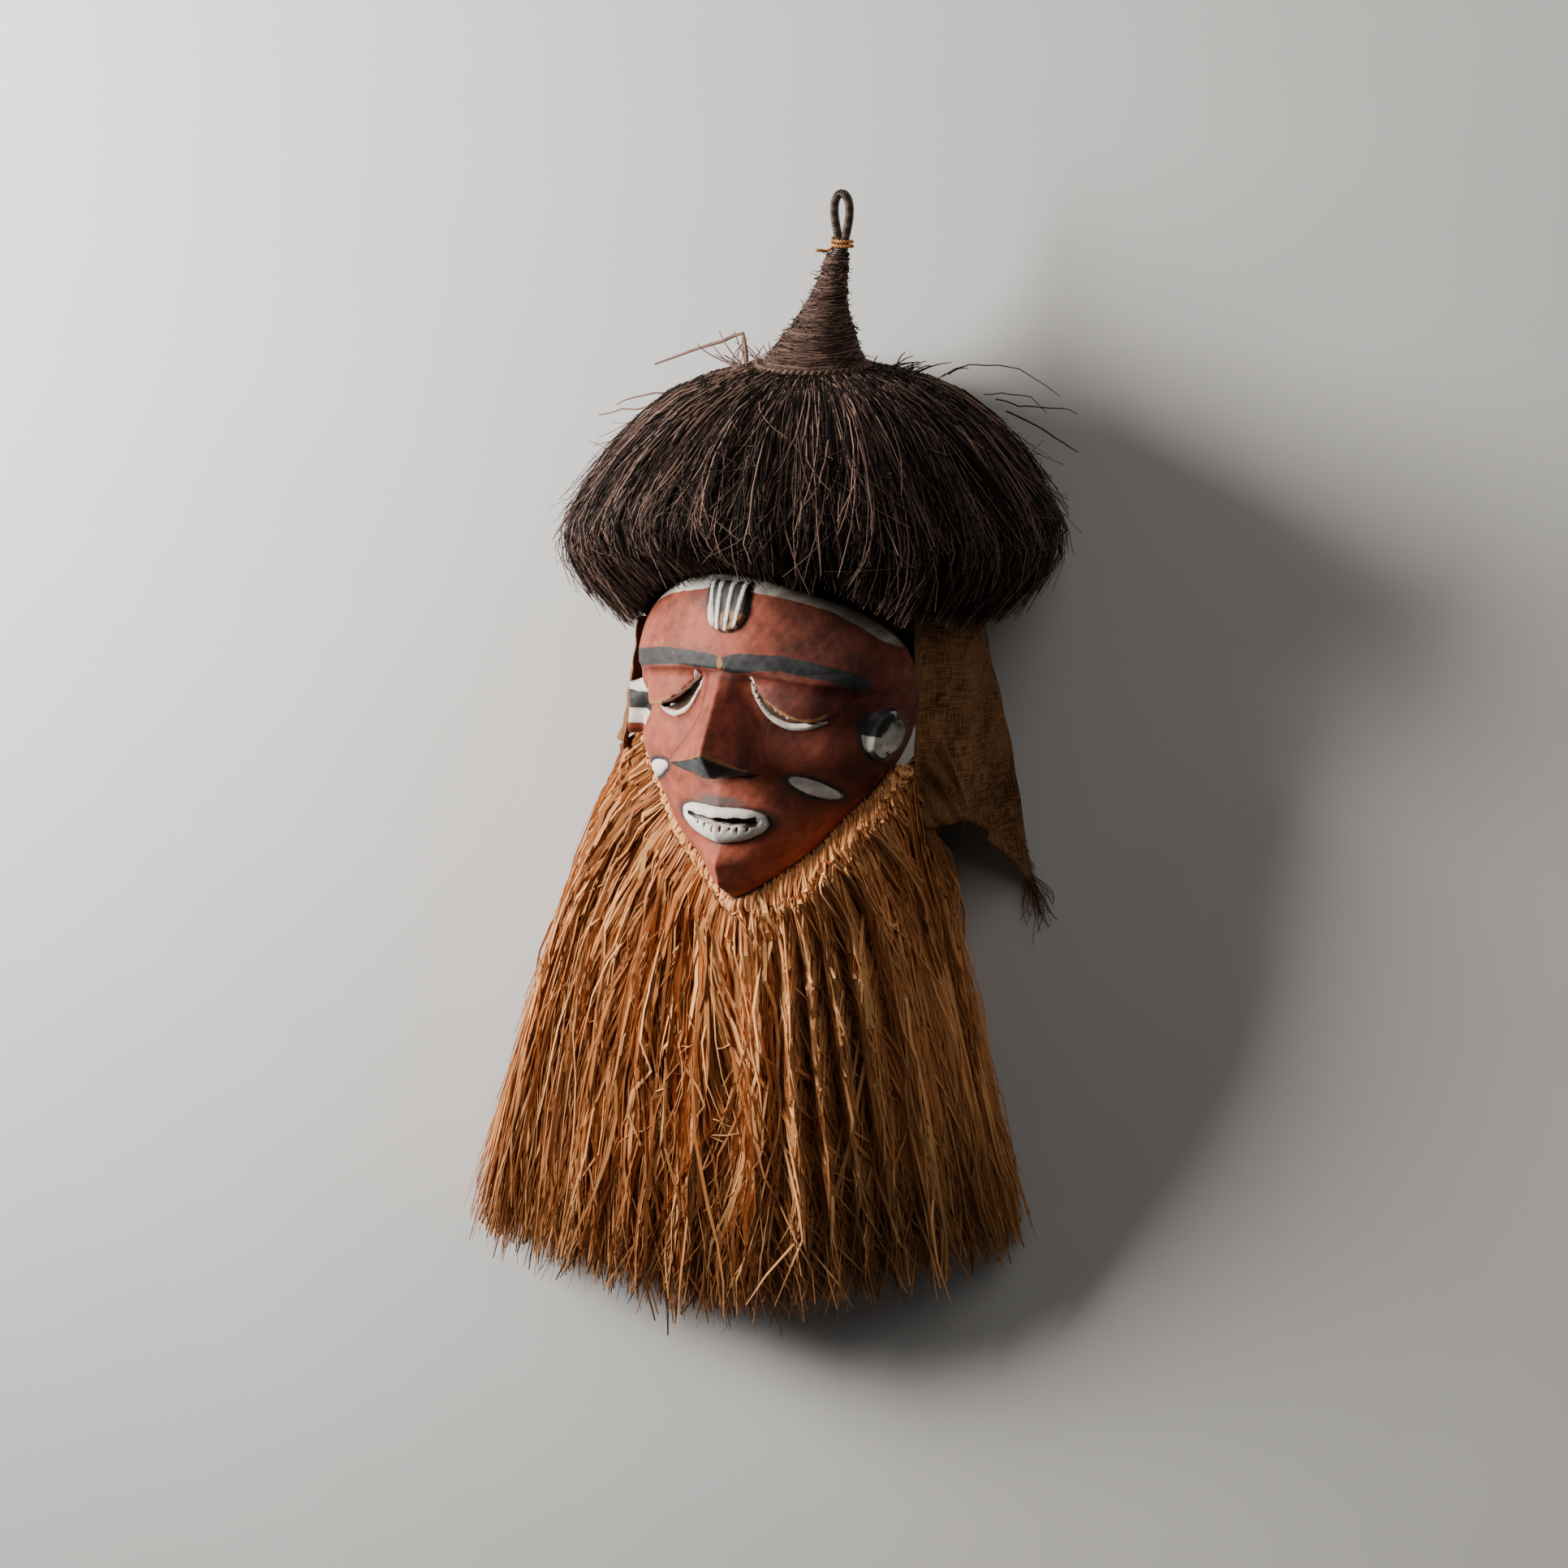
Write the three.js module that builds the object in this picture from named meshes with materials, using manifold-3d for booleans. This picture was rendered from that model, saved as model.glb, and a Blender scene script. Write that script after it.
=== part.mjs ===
// A Pende mask lying on its back: carved face, fibre hair with a wound spire, hood cloth and raffia beard.
// Millimetres, +Z up. +Y runs from the beard to the crown, +X to the right of someone who faces the mask.
//
// The carved parts are shaped in the mask's own frame: its origin is on the bridge of the nose, x to the
// right, y to the crown, z out of the face. That frame is then rolled and lifted so that the back of the
// hair lies on the floor. The soft parts that the floor shapes are made straight in the part's frame.
import * as THREE from "three";
import { ConvexGeometry } from "three/addons/geometries/ConvexGeometry.js";
import { LoftGeometry } from "three/addons/geometries/LoftGeometry.js";
import { mergeVertices } from "three/addons/utils/BufferGeometryUtils.js";
import Module from "manifold-3d";

const { clamp, degToRad, lerp, smoothstep } = THREE.MathUtils;
const wasm = await Module();
wasm.setup();

// Pose
const BRIDGE_HEIGHT = 240;
const ROLL = degToRad(15);

// Face: the outline is a radius by direction from FACE_CENTRE, in degrees up from the viewer's right
const FACE_CENTRE_Y = -40;
const FACE_OUTLINE = [
  [-90, 137],
  [-75, 121],
  [-63, 111.5],
  [-49, 102.5],
  [-26, 102.5],
  [0, 108],
  [25, 115],
  [43, 109.5],
  [61, 103],
  [90, 101],
];
const RIM_DEPTH = { middle: 21, side: 98, bend: 1.6, bendByHeight: 0.6 };
const FACE_WALL = 8;
const FACE_GRID = { rows: 37, columns: 30, hollow: 10 };
const FACE_CORNER = { top: degToRad(25), chin: degToRad(-75) };

// Relief on the face. Each pair named from and to is where a slope starts and ends.
const NOSE = { start: 5, tip: 58, height: 43, narrow: 9, wide: 32, length: 71, flare: 1.2, fade: 4 };
const NOSE_WING = { height: 15, from: 30, to: 70 };
const NOSE_BASE = { drop: 15, ridgeFall: 20, wingFall: 5 };
const LID = { middle: 51, half: 31, top: -7, edge: -10, drop: 30, height: 26, endSlope: 0.8, bulge: 0.9 };
const LOWER_LID = { height: 2.8, from: 2.5, full: 4, ebb: 7, to: 9 };
const EYE_SLIT = { half: 22, rise: 3, below: 1.2 };
const BROW = { y: -2, droop: 12, droopAt: 90, height: 3, from: -6, ebb: 6, to: 26 };
const SOCKET = { depth: 8, slope: 12, ebb: 44, to: 74, inner: [8, 22], outer: [84, 100] };
const MUZZLE = { height: 7, spread: 45, rise: 26 };
const MOUTH = { y: -115.5, half: 34, rise: 14, height: 7 };
const MOUTH_SLIT = { y: -112, half: 26, rise: 3.2 };
const CHIN = { half: 30, height: 15, from: 130, full: 148, ebb: 160, to: 178 };
const CREST = { half: 17.5, bottom: 22.5, top: 57, height: 5, slope: 3 };
const CHEEK_MARK = { x: 63, y: -89, slope: degToRad(-35.5), half: 17, rise: 4.5, height: 2.2 };
const EAR = { y: -54, z: -68, halfHeight: 20, halfDepth: 17, pad: 2, shell: 4 };
const EAR_BOSS = { y: -47, z: -60, radius: 8, slope: 3, height: 4 };

// Slits and holes cut through the wall
const SLIT_STEPS = 5;
const SLIT_END = 0.4;
const CUT_REACH = 60;
const HOLE = { radius: 2.4, length: 40, share: 0.94 };
const LACING_ANGLES = [-18, -40, -62, -79];
const BAND_HOLE_ANGLE = 24;

// Cap, spire and hair turn about one axis behind the face
const HEAD_AXIS_Z = -134;
const CAP = { radius: 101, wall: 4, straight: 95, rise: 108, inside: 188, faceTop: 62, faceBack: -99 };
const CAP_HEIGHTS = [-4, 105, 145, 172, 190];
const SPIRE = { base: 38, foot: 198, neck: 6.2, top: 281, lean: 21, taper: 0.85 };
const COIL = { count: 6, swell: 1.2, rise: 5 };
const LATHE_SIDES = 22;
const HAIR_PROFILE = [
  [0, 140],
  [0.088, 161],
  [0.297, 180],
  [0.61, 154],
  [0.8, 125],
  [0.934, 90],
  [1, 42],
];
// How low the hair hangs, by degrees round from the front to the viewer's right
const HAIR_HEM = [
  [-180, 8],
  [-135, 4],
  [-90, 0],
  [-60, 12],
  [-40, 32],
  [-20, 56],
  [0, 65],
  [26, 57],
  [45, 40],
  [60, 26],
  [90, 26],
  [135, 20],
  [180, 8],
];
const HAIR = { top: 198, locks: 28, lock: 5.5, rows: 11, crowding: 1.25, underside: 4, overTemples: 122 };
// How far the hair keeps off the cap, by height
const HAIR_OFF_CAP = [
  [96, 1.5],
  [140, 7],
  [172, 7],
  [193, 2],
];

const LOOP = { x: 23.8, bottom: 285.4, top: 324, half: 8.7, drawn: 0.35, cord: 2.9, strap: 3.6 };
const LOOP_STEPS = 22;
const LOOP_SIDES = 7;
const TIE = { radius: 7.9, cord: 1.5, pitch: 3.3, turns: 2.2, low: 284.2, tail: 12, start: degToRad(162) };
const TIE_STEPS_PER_TURN = 12;
const TIE_SIDES = 5;

// Collar and beard, from the left end of the jaw band to the right one
const COLLAR = { from: -162, to: -23, offset: 7.3, thick: 6.8, thin: 4.6, low: -1, knots: 33, sides: 5 };
// Each row is one strand: where it starts along the collar, then the points it passes at a third and two
// thirds of its length, and its tip
const BEARD_STRANDS = [
  [0, [-160, -160, 12], [-215, -318, 12], [-262, -486, 10]],
  [0.18, [-145, -212, 110], [-190, -340, 76], [-224, -502, 50]],
  [0.5, [0, -296, 184], [-15, -412, 136], [-35, -536, 86]],
  [0.82, [112, -222, 138], [128, -345, 98], [146, -488, 56]],
  [1, [118, -200, 28], [138, -350, 12], [170, -462, 10]],
];
const BEARD = { across: 36, along: 12, gap: 0.6, skin: 13, under: 6, fall: 900, lock: 4.2, ragged: 8 };
// Where the points of its underside stand, as shares of the collar from its right end to its left one
const BEARD_BELOW = [0.96, 0.86, 0.75, 0.64, 0.56, 0.5, 0.44, 0.36, 0.25, 0.14, 0.04];

// Hood cloth: its hem, as the share of the way round from the right temple, then x, y, z
const CLOTH_HEM = [
  [0, [142, -128, 154]],
  [0.12, [170, -138, 80]],
  [0.22, [184, -212, 4]],
  [0.3, [160, -150, 3]],
  [0.4, [100, -92, 3]],
  [0.75, [-96, -84, 3]],
  [0.86, [-107, -66, 50]],
  [1, [-104, -66, 116]],
];
const CLOTH = { radius: 108, flare: 20, from: degToRad(32.8), to: degToRad(-183), thickness: 3, steps: 40 };
const CLOTH_UNDER_HAIR = 7;
const CLOTH_FOLD = { depth: 3.5, waves: 60, low: 10, high: 40 };
const FLOOR_GAP = 0.5;

// A smooth curve through [position, value] stations, read at one position.
function through(stations, at) {
  const last = stations.length - 1;
  const x = clamp(at, stations[0][0], stations[last][0]);
  let i = 0;
  while (i < last - 1 && x > stations[i + 1][0]) i += 1;
  const slope = (k) => {
    const a = stations[Math.max(k - 1, 0)];
    const b = stations[Math.min(k + 1, last)];
    return (b[1] - a[1]) / (b[0] - a[0]);
  };
  const [x0, y0] = stations[i];
  const [x1, y1] = stations[i + 1];
  const span = x1 - x0;
  const t = (x - x0) / span;
  const bend = t * t * (3 - 2 * t);
  const leaving = span * t * (1 - t) * (1 - t) * slope(i);
  const arriving = -span * t * t * (1 - t) * slope(i + 1);
  return lerp(y0, y1, bend) + leaving + arriving;
}

// The same for points in space.
function pathThrough(stations, at) {
  const axis = (k) => through(stations.map(([s, p]) => [s, p[k]]), at);
  return new THREE.Vector3(axis(0), axis(1), axis(2));
}

function solidFrom(geometry) {
  const bare = new THREE.BufferGeometry().copy(geometry);
  bare.deleteAttribute("normal");
  bare.deleteAttribute("uv");
  const merged = mergeVertices(bare, 1e-3);
  const corners = merged.index.array;
  const kept = [];
  for (let i = 0; i < corners.length; i += 3) {
    const [a, b, c] = [corners[i], corners[i + 1], corners[i + 2]];
    if (a !== b && b !== c && c !== a) kept.push(a, b, c);
  }
  const vertProperties = merged.attributes.position.array;
  const triVerts = new Uint32Array(kept);
  return new wasm.Manifold(new wasm.Mesh({ numProp: 3, vertProperties, triVerts }));
}

// Skins closed sections, turning them round first where their faces would point inwards.
function skin(sections, capped = true) {
  const at = Math.floor(sections.length / 2) - 1;
  const centre = (section) => section
    .reduce((sum, point) => sum.add(point), new THREE.Vector3())
    .divideScalar(section.length);
  const here = centre(sections[at]);
  const ahead = centre(sections[at + 1]).sub(here);
  const facing = new THREE.Vector3();
  sections[at].forEach((point, i, ring) => {
    const next = ring[(i + 1) % ring.length];
    facing.add(point.clone().sub(here).cross(next.clone().sub(here)));
  });
  const turned = facing.dot(ahead) < 0 ? sections.map((ring) => [...ring].reverse()) : sections;
  return new LoftGeometry(turned, { capStart: capped, capEnd: capped });
}

function geometryFrom(solid) {
  const { vertProperties, triVerts } = solid.getMesh();
  const geometry = new THREE.BufferGeometry();
  geometry.setAttribute("position", new THREE.BufferAttribute(vertProperties, 3));
  geometry.setIndex(new THREE.BufferAttribute(triVerts, 1));
  geometry.computeVertexNormals();
  return geometry;
}

// The mask's frame, rolled and lifted.
const maskPlace = new THREE.Matrix4()
  .makeRotationY(-ROLL)
  .setPosition(0, 0, BRIDGE_HEIGHT);

const inPart = (x, y, z) => new THREE.Vector3(x, y, z).applyMatrix4(maskPlace);

// Face

function outline(direction) {
  const fromSide = Math.atan2(Math.sin(direction), Math.abs(Math.cos(direction)));
  return through(FACE_OUTLINE, THREE.MathUtils.radToDeg(fromSide));
}

function rimDepth(direction) {
  const bend = RIM_DEPTH.bend + RIM_DEPTH.bendByHeight * Math.sin(direction);
  const sideways = Math.abs(Math.cos(direction)) ** bend;
  return lerp(RIM_DEPTH.middle, RIM_DEPTH.side, sideways);
}

// The smooth form under the carving: share runs from 0 in the middle of the face to 1 at its rim.
function faceForm(share, direction) {
  const tilt = (share * Math.PI) / 2;
  const reach = outline(direction) * Math.sin(tilt);
  return new THREE.Vector3(
    reach * Math.cos(direction),
    FACE_CENTRE_Y + reach * Math.sin(direction),
    -rimDepth(direction) * (1 - Math.cos(tilt)),
  );
}

function faceNormal(share, direction) {
  const step = 0.004;
  const at = clamp(share, 5 * step, 1 - step);
  const along = faceForm(at + step, direction).sub(faceForm(at - step, direction));
  const round = faceForm(at, direction + step).sub(faceForm(at, direction - step));
  return along.cross(round).normalize();
}

function noseRise(x, y) {
  const down = -y;
  const ridge = NOSE.height * clamp((down - NOSE.start) / (NOSE.tip - NOSE.start), 0, 1);
  const half = lerp(NOSE.narrow, NOSE.wide, clamp(down / NOSE.length, 0, 1) ** NOSE.flare);
  const wing = NOSE_WING.height * smoothstep(down, NOSE_WING.from, NOSE_WING.to);
  const across = Math.abs(x) / half;
  const inside = Math.min(across, 1);
  const past = clamp(1 - ((across - 1) * half) / NOSE.fade, 0, 1);
  const rise = lerp(ridge, wing, inside) * (across > 1 ? past : 1);
  const edge = NOSE.tip + NOSE_BASE.drop * inside;
  const fall = lerp(NOSE_BASE.ridgeFall, NOSE_BASE.wingFall, inside);
  return rise * clamp(1 - (down - edge) / fall, 0, 1);
}

// The lower edge of the closed upper lid.
function lidEdge(x) {
  const off = clamp((Math.abs(x) - LID.middle) / LID.half, -1, 1);
  const arch = Math.sqrt(1 - off * off);
  return { arch, y: LID.edge - LID.drop * arch };
}

function lidRise(x, y) {
  const { arch, y: edge } = lidEdge(x);
  if (arch <= 0 || y > LID.top) return 0;
  if (y < edge) {
    const below = edge - y;
    const { height, from, full, ebb, to } = LOWER_LID;
    return height * arch * smoothstep(below, from, full) * (1 - smoothstep(below, ebb, to));
  }
  const t = (LID.top - y) / (LID.top - edge);
  return LID.height * arch ** LID.endSlope * Math.sin((t * Math.PI) / 2) ** LID.bulge;
}

const browLine = (x) => BROW.y - BROW.droop * (x / BROW.droopAt) ** 2;

function socketFall(x, y) {
  const side = Math.abs(x);
  const down = smoothstep(browLine(x) - y, 0, SOCKET.slope) * (1 - smoothstep(-y, SOCKET.ebb, SOCKET.to));
  return SOCKET.depth * down * smoothstep(side, ...SOCKET.inner) * (1 - smoothstep(side, ...SOCKET.outer));
}

function browRise(x, y) {
  const above = y - browLine(x);
  return BROW.height * smoothstep(above, BROW.from, 0) * (1 - smoothstep(above, BROW.ebb, BROW.to));
}

function mouthRise(x, y) {
  const up = y - MOUTH.y;
  const muzzle = MUZZLE.height * Math.exp(-((x / MUZZLE.spread) ** 2) - (up / MUZZLE.rise) ** 2);
  const spread = Math.hypot(x / MOUTH.half, up / MOUTH.rise);
  return muzzle + MOUTH.height * Math.sqrt(clamp(1 - spread ** 4, 0, 1));
}

function chinRise(x, y) {
  const keel = clamp(1 - Math.abs(x) / CHIN.half, 0, 1);
  return CHIN.height * keel * smoothstep(-y, CHIN.from, CHIN.full) * (1 - smoothstep(-y, CHIN.ebb, CHIN.to));
}

function crestRise(x, y) {
  const middle = CREST.bottom + CREST.half;
  const away = y > middle ? Math.abs(x) : Math.hypot(x, y - middle);
  const top = 1 - smoothstep(y, CREST.top, CREST.top + CREST.slope);
  return CREST.height * (1 - smoothstep(away, CREST.half - CREST.slope, CREST.half)) * top;
}

function cheekRise(x, y) {
  const dx = Math.abs(x) - CHEEK_MARK.x;
  const dy = y - CHEEK_MARK.y;
  const along = dx * Math.cos(CHEEK_MARK.slope) + dy * Math.sin(CHEEK_MARK.slope);
  const off = dy * Math.cos(CHEEK_MARK.slope) - dx * Math.sin(CHEEK_MARK.slope);
  const spread = (along / CHEEK_MARK.half) ** 2 + (off / CHEEK_MARK.rise) ** 2;
  return CHEEK_MARK.height * Math.sqrt(clamp(1 - spread, 0, 1));
}

function earRise(y, z) {
  const back = (z - EAR.z) / EAR.halfDepth;
  const up = (y - EAR.y) / EAR.halfHeight;
  const spread = Math.hypot(back, up);
  const inside = 1 - smoothstep(spread, 0.85, 1.05);
  const shell = EAR.shell * smoothstep(spread, 0.45, 0.7);
  const open = smoothstep(up - back, 0.9, 1.3);
  const off = Math.hypot(z - EAR_BOSS.z, y - EAR_BOSS.y);
  const boss = EAR_BOSS.height * (1 - smoothstep(off, EAR_BOSS.radius - EAR_BOSS.slope, EAR_BOSS.radius));
  return (EAR.pad + shell * (1 - open)) * inside + boss;
}

function facePoint(share, direction) {
  const base = faceForm(share, direction);
  const { x, y, z } = base;
  const carved = noseRise(x, y) + lidRise(x, y) - socketFall(x, y) + browRise(x, y)
    + mouthRise(x, y) + chinRise(x, y) + crestRise(x, y) + cheekRise(x, y);
  const point = base.clone().addScaledVector(faceNormal(share, direction), earRise(y, z));
  point.z += carved;
  return point;
}

// A four-sided patch laid over the unit disc, with two corners at the temples and two beside the chin.
function discPatch(u, v) {
  const corner = FACE_CORNER;
  const rightward = (u + 1) / 2;
  const onCircle = (angle) => new THREE.Vector2(Math.cos(angle), Math.sin(angle));
  const top = onCircle(lerp(Math.PI - corner.top, corner.top, rightward));
  const chin = onCircle(lerp(-Math.PI - corner.chin, corner.chin, rightward));
  const right = onCircle(lerp(corner.top, corner.chin, v));
  const left = new THREE.Vector2(-right.x, right.y);
  const cornerAt = (s, t) => {
    const angle = t ? corner.chin : corner.top;
    return new THREE.Vector2((s ? 1 : -1) * Math.cos(angle), Math.sin(angle));
  };
  const sum = new THREE.Vector2();
  sum.addScaledVector(top, 1 - v).addScaledVector(chin, v);
  sum.addScaledVector(left, 1 - rightward).addScaledVector(right, rightward);
  for (const s of [0, 1]) {
    for (const t of [0, 1]) {
      const weight = (s ? rightward : 1 - rightward) * (t ? v : 1 - v);
      sum.addScaledVector(cornerAt(s, t), -weight);
    }
  }
  return { share: Math.min(sum.length(), 1), direction: Math.atan2(sum.y, sum.x) };
}

// The patch as rows of points, each row from left to right and the first one along the top.
function patchRows(rows, columns, pointAt) {
  const patch = [];
  for (let j = 0; j <= rows; j += 1) {
    const row = [];
    for (let i = 0; i <= columns; i += 1) {
      const { share, direction } = discPatch((2 * i) / columns - 1, j / rows);
      row.push(pointAt(share, direction));
    }
    patch.push(row);
  }
  return patch;
}

// The face as a block, closed behind by one more point to each row.
function faceBlock() {
  const sections = patchRows(FACE_GRID.rows, FACE_GRID.columns, facePoint);
  for (const section of sections) {
    const [left, right] = [section[0], section[section.length - 1]];
    section.push(new THREE.Vector3(0, (left.y + right.y) / 2, (left.z + right.z) / 2 - 1));
  }
  return solidFrom(skin(sections));
}

// The hollow behind the face, drawn out backwards well past the rim.
function faceHollow() {
  const inside = (share, direction) => {
    const wall = faceNormal(share, direction).multiplyScalar(-FACE_WALL);
    return faceForm(share, direction).add(wall);
  };
  const near = patchRows(FACE_GRID.hollow, FACE_GRID.hollow, inside).flat();
  const far = near.map((point) => new THREE.Vector3(point.x, point.y, -2 * RIM_DEPTH.side));
  return solidFrom(new ConvexGeometry([...near, ...far]));
}

// A round rod through the wall, for a lacing hole.
function holeRod(direction) {
  const at = faceForm(HOLE.share, direction);
  const rod = new THREE.CylinderGeometry(HOLE.radius, HOLE.radius, HOLE.length, 5);
  const turn = new THREE.Quaternion().setFromUnitVectors(
    new THREE.Vector3(0, 1, 0),
    faceNormal(HOLE.share, direction),
  );
  rod.applyQuaternion(turn);
  rod.translate(at.x, at.y, at.z);
  return solidFrom(rod);
}

// A slit through the wall: a lens in the face's plane, bent along the arch that y gives.
function slitBlade(half, rise, middle, archAt) {
  const sections = [];
  for (let i = 0; i <= SLIT_STEPS; i += 1) {
    const across = (2 * i) / SLIT_STEPS - 1;
    const opening = rise * Math.sqrt(1 - across * across) + SLIT_END;
    const x = middle + half * across;
    const y = archAt(x);
    sections.push([
      new THREE.Vector3(x, y - opening, -CUT_REACH),
      new THREE.Vector3(x, y + opening, -CUT_REACH),
      new THREE.Vector3(x, y + opening, CUT_REACH),
      new THREE.Vector3(x, y - opening, CUT_REACH),
    ]);
  }
  return solidFrom(skin(sections));
}

function carvedFace() {
  let face = faceBlock().subtract(faceHollow());
  face = face.subtract(slitBlade(MOUTH_SLIT.half, MOUTH_SLIT.rise, 0, () => MOUTH_SLIT.y));
  for (const side of [-1, 1]) {
    const underLid = (x) => lidEdge(x).y - EYE_SLIT.below;
    face = face.subtract(slitBlade(EYE_SLIT.half, EYE_SLIT.rise, side * LID.middle, underLid));
    for (const angle of LACING_ANGLES) {
      const direction = degToRad(side > 0 ? angle : 180 - angle);
      face = face.subtract(holeRod(direction));
    }
  }
  return geometryFrom(face.subtract(holeRod(degToRad(BAND_HOLE_ANGLE))));
}

// Cap and spire

const capRadius = (y) => {
  const up = clamp((y - CAP.straight) / CAP.rise, 0, 1);
  return CAP.radius * Math.sqrt(1 - up * up);
};

function capAndSpire() {
  const profile = [new THREE.Vector2(0, CAP.inside)];
  for (const y of [...CAP_HEIGHTS].reverse().slice(1)) {
    profile.push(new THREE.Vector2(capRadius(y + CAP.wall) - CAP.wall, y));
  }
  for (const y of CAP_HEIGHTS) profile.push(new THREE.Vector2(capRadius(y), y));
  for (let i = 0; i <= COIL.count; i += 1) {
    const t = i / COIL.count;
    const y = lerp(SPIRE.foot, SPIRE.top, t);
    const radius = lerp(SPIRE.base, SPIRE.neck, Math.sin((t * Math.PI) / 2) ** SPIRE.taper);
    profile.push(new THREE.Vector2(radius, y));
    if (i < COIL.count) profile.push(new THREE.Vector2(radius + COIL.swell, y + COIL.rise));
  }
  profile.push(new THREE.Vector2(0, SPIRE.top));
  const lathe = new THREE.LatheGeometry(profile, LATHE_SIDES);
  const position = lathe.attributes.position;
  for (let i = 0; i < position.count; i += 1) {
    const up = Math.max(position.getY(i) - SPIRE.foot, 0) / (SPIRE.top - SPIRE.foot);
    position.setX(i, position.getX(i) + SPIRE.lean * up);
  }
  lathe.translate(0, 0, HEAD_AXIS_Z);
  return lathe;
}

function openCap() {
  const size = new THREE.Vector3(2.6 * CAP.radius, 100, 140);
  const faceOpening = new THREE.BoxGeometry(size.x, size.y, size.z);
  faceOpening.translate(0, CAP.faceTop - size.y / 2, CAP.faceBack + size.z / 2);
  return geometryFrom(solidFrom(capAndSpire()).subtract(solidFrom(faceOpening)));
}

// Hair

// How low the hair hangs at an angle from the front to the viewer's right.
function hairHem(round) {
  const fromFront = THREE.MathUtils.euclideanModulo(round + Math.PI, 2 * Math.PI) - Math.PI;
  return through(HAIR_HEM, THREE.MathUtils.radToDeg(fromFront));
}

function hairDome() {
  const columns = HAIR.locks * 2;
  const sections = [];
  for (let i = 0; i <= columns; i += 1) {
    const round = (2 * Math.PI * (i % columns)) / columns;
    const ragged = 2.5 * Math.sin(11 * round + 1) + 1.5 * Math.sin(23 * round);
    const hem = hairHem(round) + ragged;
    const swell = 2.5 * Math.sin(5 * round + 2) + 2 * Math.sin(9 * round);
    const lock = i % 2 ? -HAIR.lock : HAIR.lock;
    const at = (radius, y) => new THREE.Vector3(
      radius * Math.sin(round),
      y,
      HEAD_AXIS_Z + radius * Math.cos(round),
    );
    const section = [];
    for (let j = 0; j <= HAIR.rows; j += 1) {
      const t = j / HAIR.rows;
      const share = 1 - t ** HAIR.crowding;
      const bulge = Math.sin(Math.PI * Math.min(t * 1.2, 1)) ** 0.5;
      const ridge = (lock + swell) * (t < 1 ? bulge : 0.5);
      const radius = through(HAIR_PROFILE, share) + ridge * Math.min(t * 3, 1);
      section.push(at(radius, lerp(hem, HAIR.top, share)));
    }
    const inFront = smoothstep(Math.cos(round), -0.3, 0);
    const besideCap = CAP.radius + HAIR_OFF_CAP[0][1];
    section.push(at(lerp(besideCap, HAIR.overTemples, inFront), hem + HAIR.underside));
    for (const [y, off] of HAIR_OFF_CAP) section.push(at(capRadius(y) + off, y));
    sections.push(section);
  }
  const dome = skin(sections, false);
  dome.applyMatrix4(maskPlace);
  const size = 4 * CAP.radius;
  const underFloor = new THREE.BoxGeometry(size, size, size);
  underFloor.translate(0, HAIR.top / 2, -size / 2);
  return geometryFrom(solidFrom(dome).subtract(solidFrom(underFloor)));
}

// Loop and tie

// A tube of one flattened round section along a path, given as points with their sideways directions.
function tube(stations, flat, deep, sides, closed) {
  const sections = stations.map(({ point, side, up }) => {
    const ring = [];
    for (let k = 0; k < sides; k += 1) {
      const angle = (2 * Math.PI * k) / sides;
      ring.push(point.clone()
        .addScaledVector(side, flat * Math.cos(angle))
        .addScaledVector(up, deep * Math.sin(angle)));
    }
    return ring;
  });
  if (closed) sections.push(sections[0]);
  return skin(sections, !closed);
}

function hangingLoop() {
  const stations = [];
  for (let i = 0; i < LOOP_STEPS; i += 1) {
    const angle = (2 * Math.PI * i) / LOOP_STEPS;
    const at = (a) => new THREE.Vector3(
      LOOP.x + LOOP.half * Math.sin(a) * (1 - LOOP.drawn * (1 - Math.cos(a))),
      lerp(LOOP.bottom, LOOP.top, (1 + Math.cos(a)) / 2),
      HEAD_AXIS_Z,
    );
    const along = at(angle + 0.01).sub(at(angle - 0.01)).normalize();
    const up = new THREE.Vector3(0, 0, 1);
    stations.push({ point: at(angle), side: along.clone().cross(up), up });
  }
  return tube(stations, -LOOP.cord, LOOP.strap, LOOP_SIDES, true);
}

function loopTie() {
  const steps = Math.round(TIE_STEPS_PER_TURN * TIE.turns);
  const stations = [];
  const up = new THREE.Vector3(0, 1, 0);
  for (let i = 0; i <= steps; i += 1) {
    const turned = i / TIE_STEPS_PER_TURN;
    const angle = TIE.start + 2 * Math.PI * turned;
    const side = new THREE.Vector3(Math.cos(angle), 0, Math.sin(angle));
    const middle = new THREE.Vector3(LOOP.x, TIE.low + TIE.pitch * turned, HEAD_AXIS_Z);
    const point = middle.addScaledVector(side, TIE.radius);
    stations.push({ point, side, up });
  }
  const tail = (end, way) => {
    const { point, side } = stations[end];
    const ahead = new THREE.Vector3(-side.z, 0, side.x).multiplyScalar(way);
    const gone = ahead.multiplyScalar(0.6).addScaledVector(side, 0.8).normalize();
    return [0.4, 1].map((share) => ({
      point: point.clone().addScaledVector(gone, TIE.tail * share).addScaledVector(up, way * share * 2),
      side,
      up,
    }));
  };
  const before = tail(0, -1).reverse();
  const after = tail(stations.length - 1, 1);
  return tube([...before, ...stations, ...after], -TIE.cord, TIE.cord, TIE_SIDES, false);
}

// Collar and beard

const collarAngle = (u) => degToRad(
  u < 0.5 ? lerp(COLLAR.from, -90, u * 2) : lerp(-90, COLLAR.to, u * 2 - 1),
);

// A point outside the jaw rim, in the mask's frame: how far out from the rim, and how far above its back.
function besideRim(u, out, above) {
  const direction = collarAngle(u);
  const reach = outline(direction) + out;
  return new THREE.Vector3(
    reach * Math.cos(direction),
    FACE_CENTRE_Y + reach * Math.sin(direction),
    -rimDepth(direction) + above,
  );
}

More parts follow.
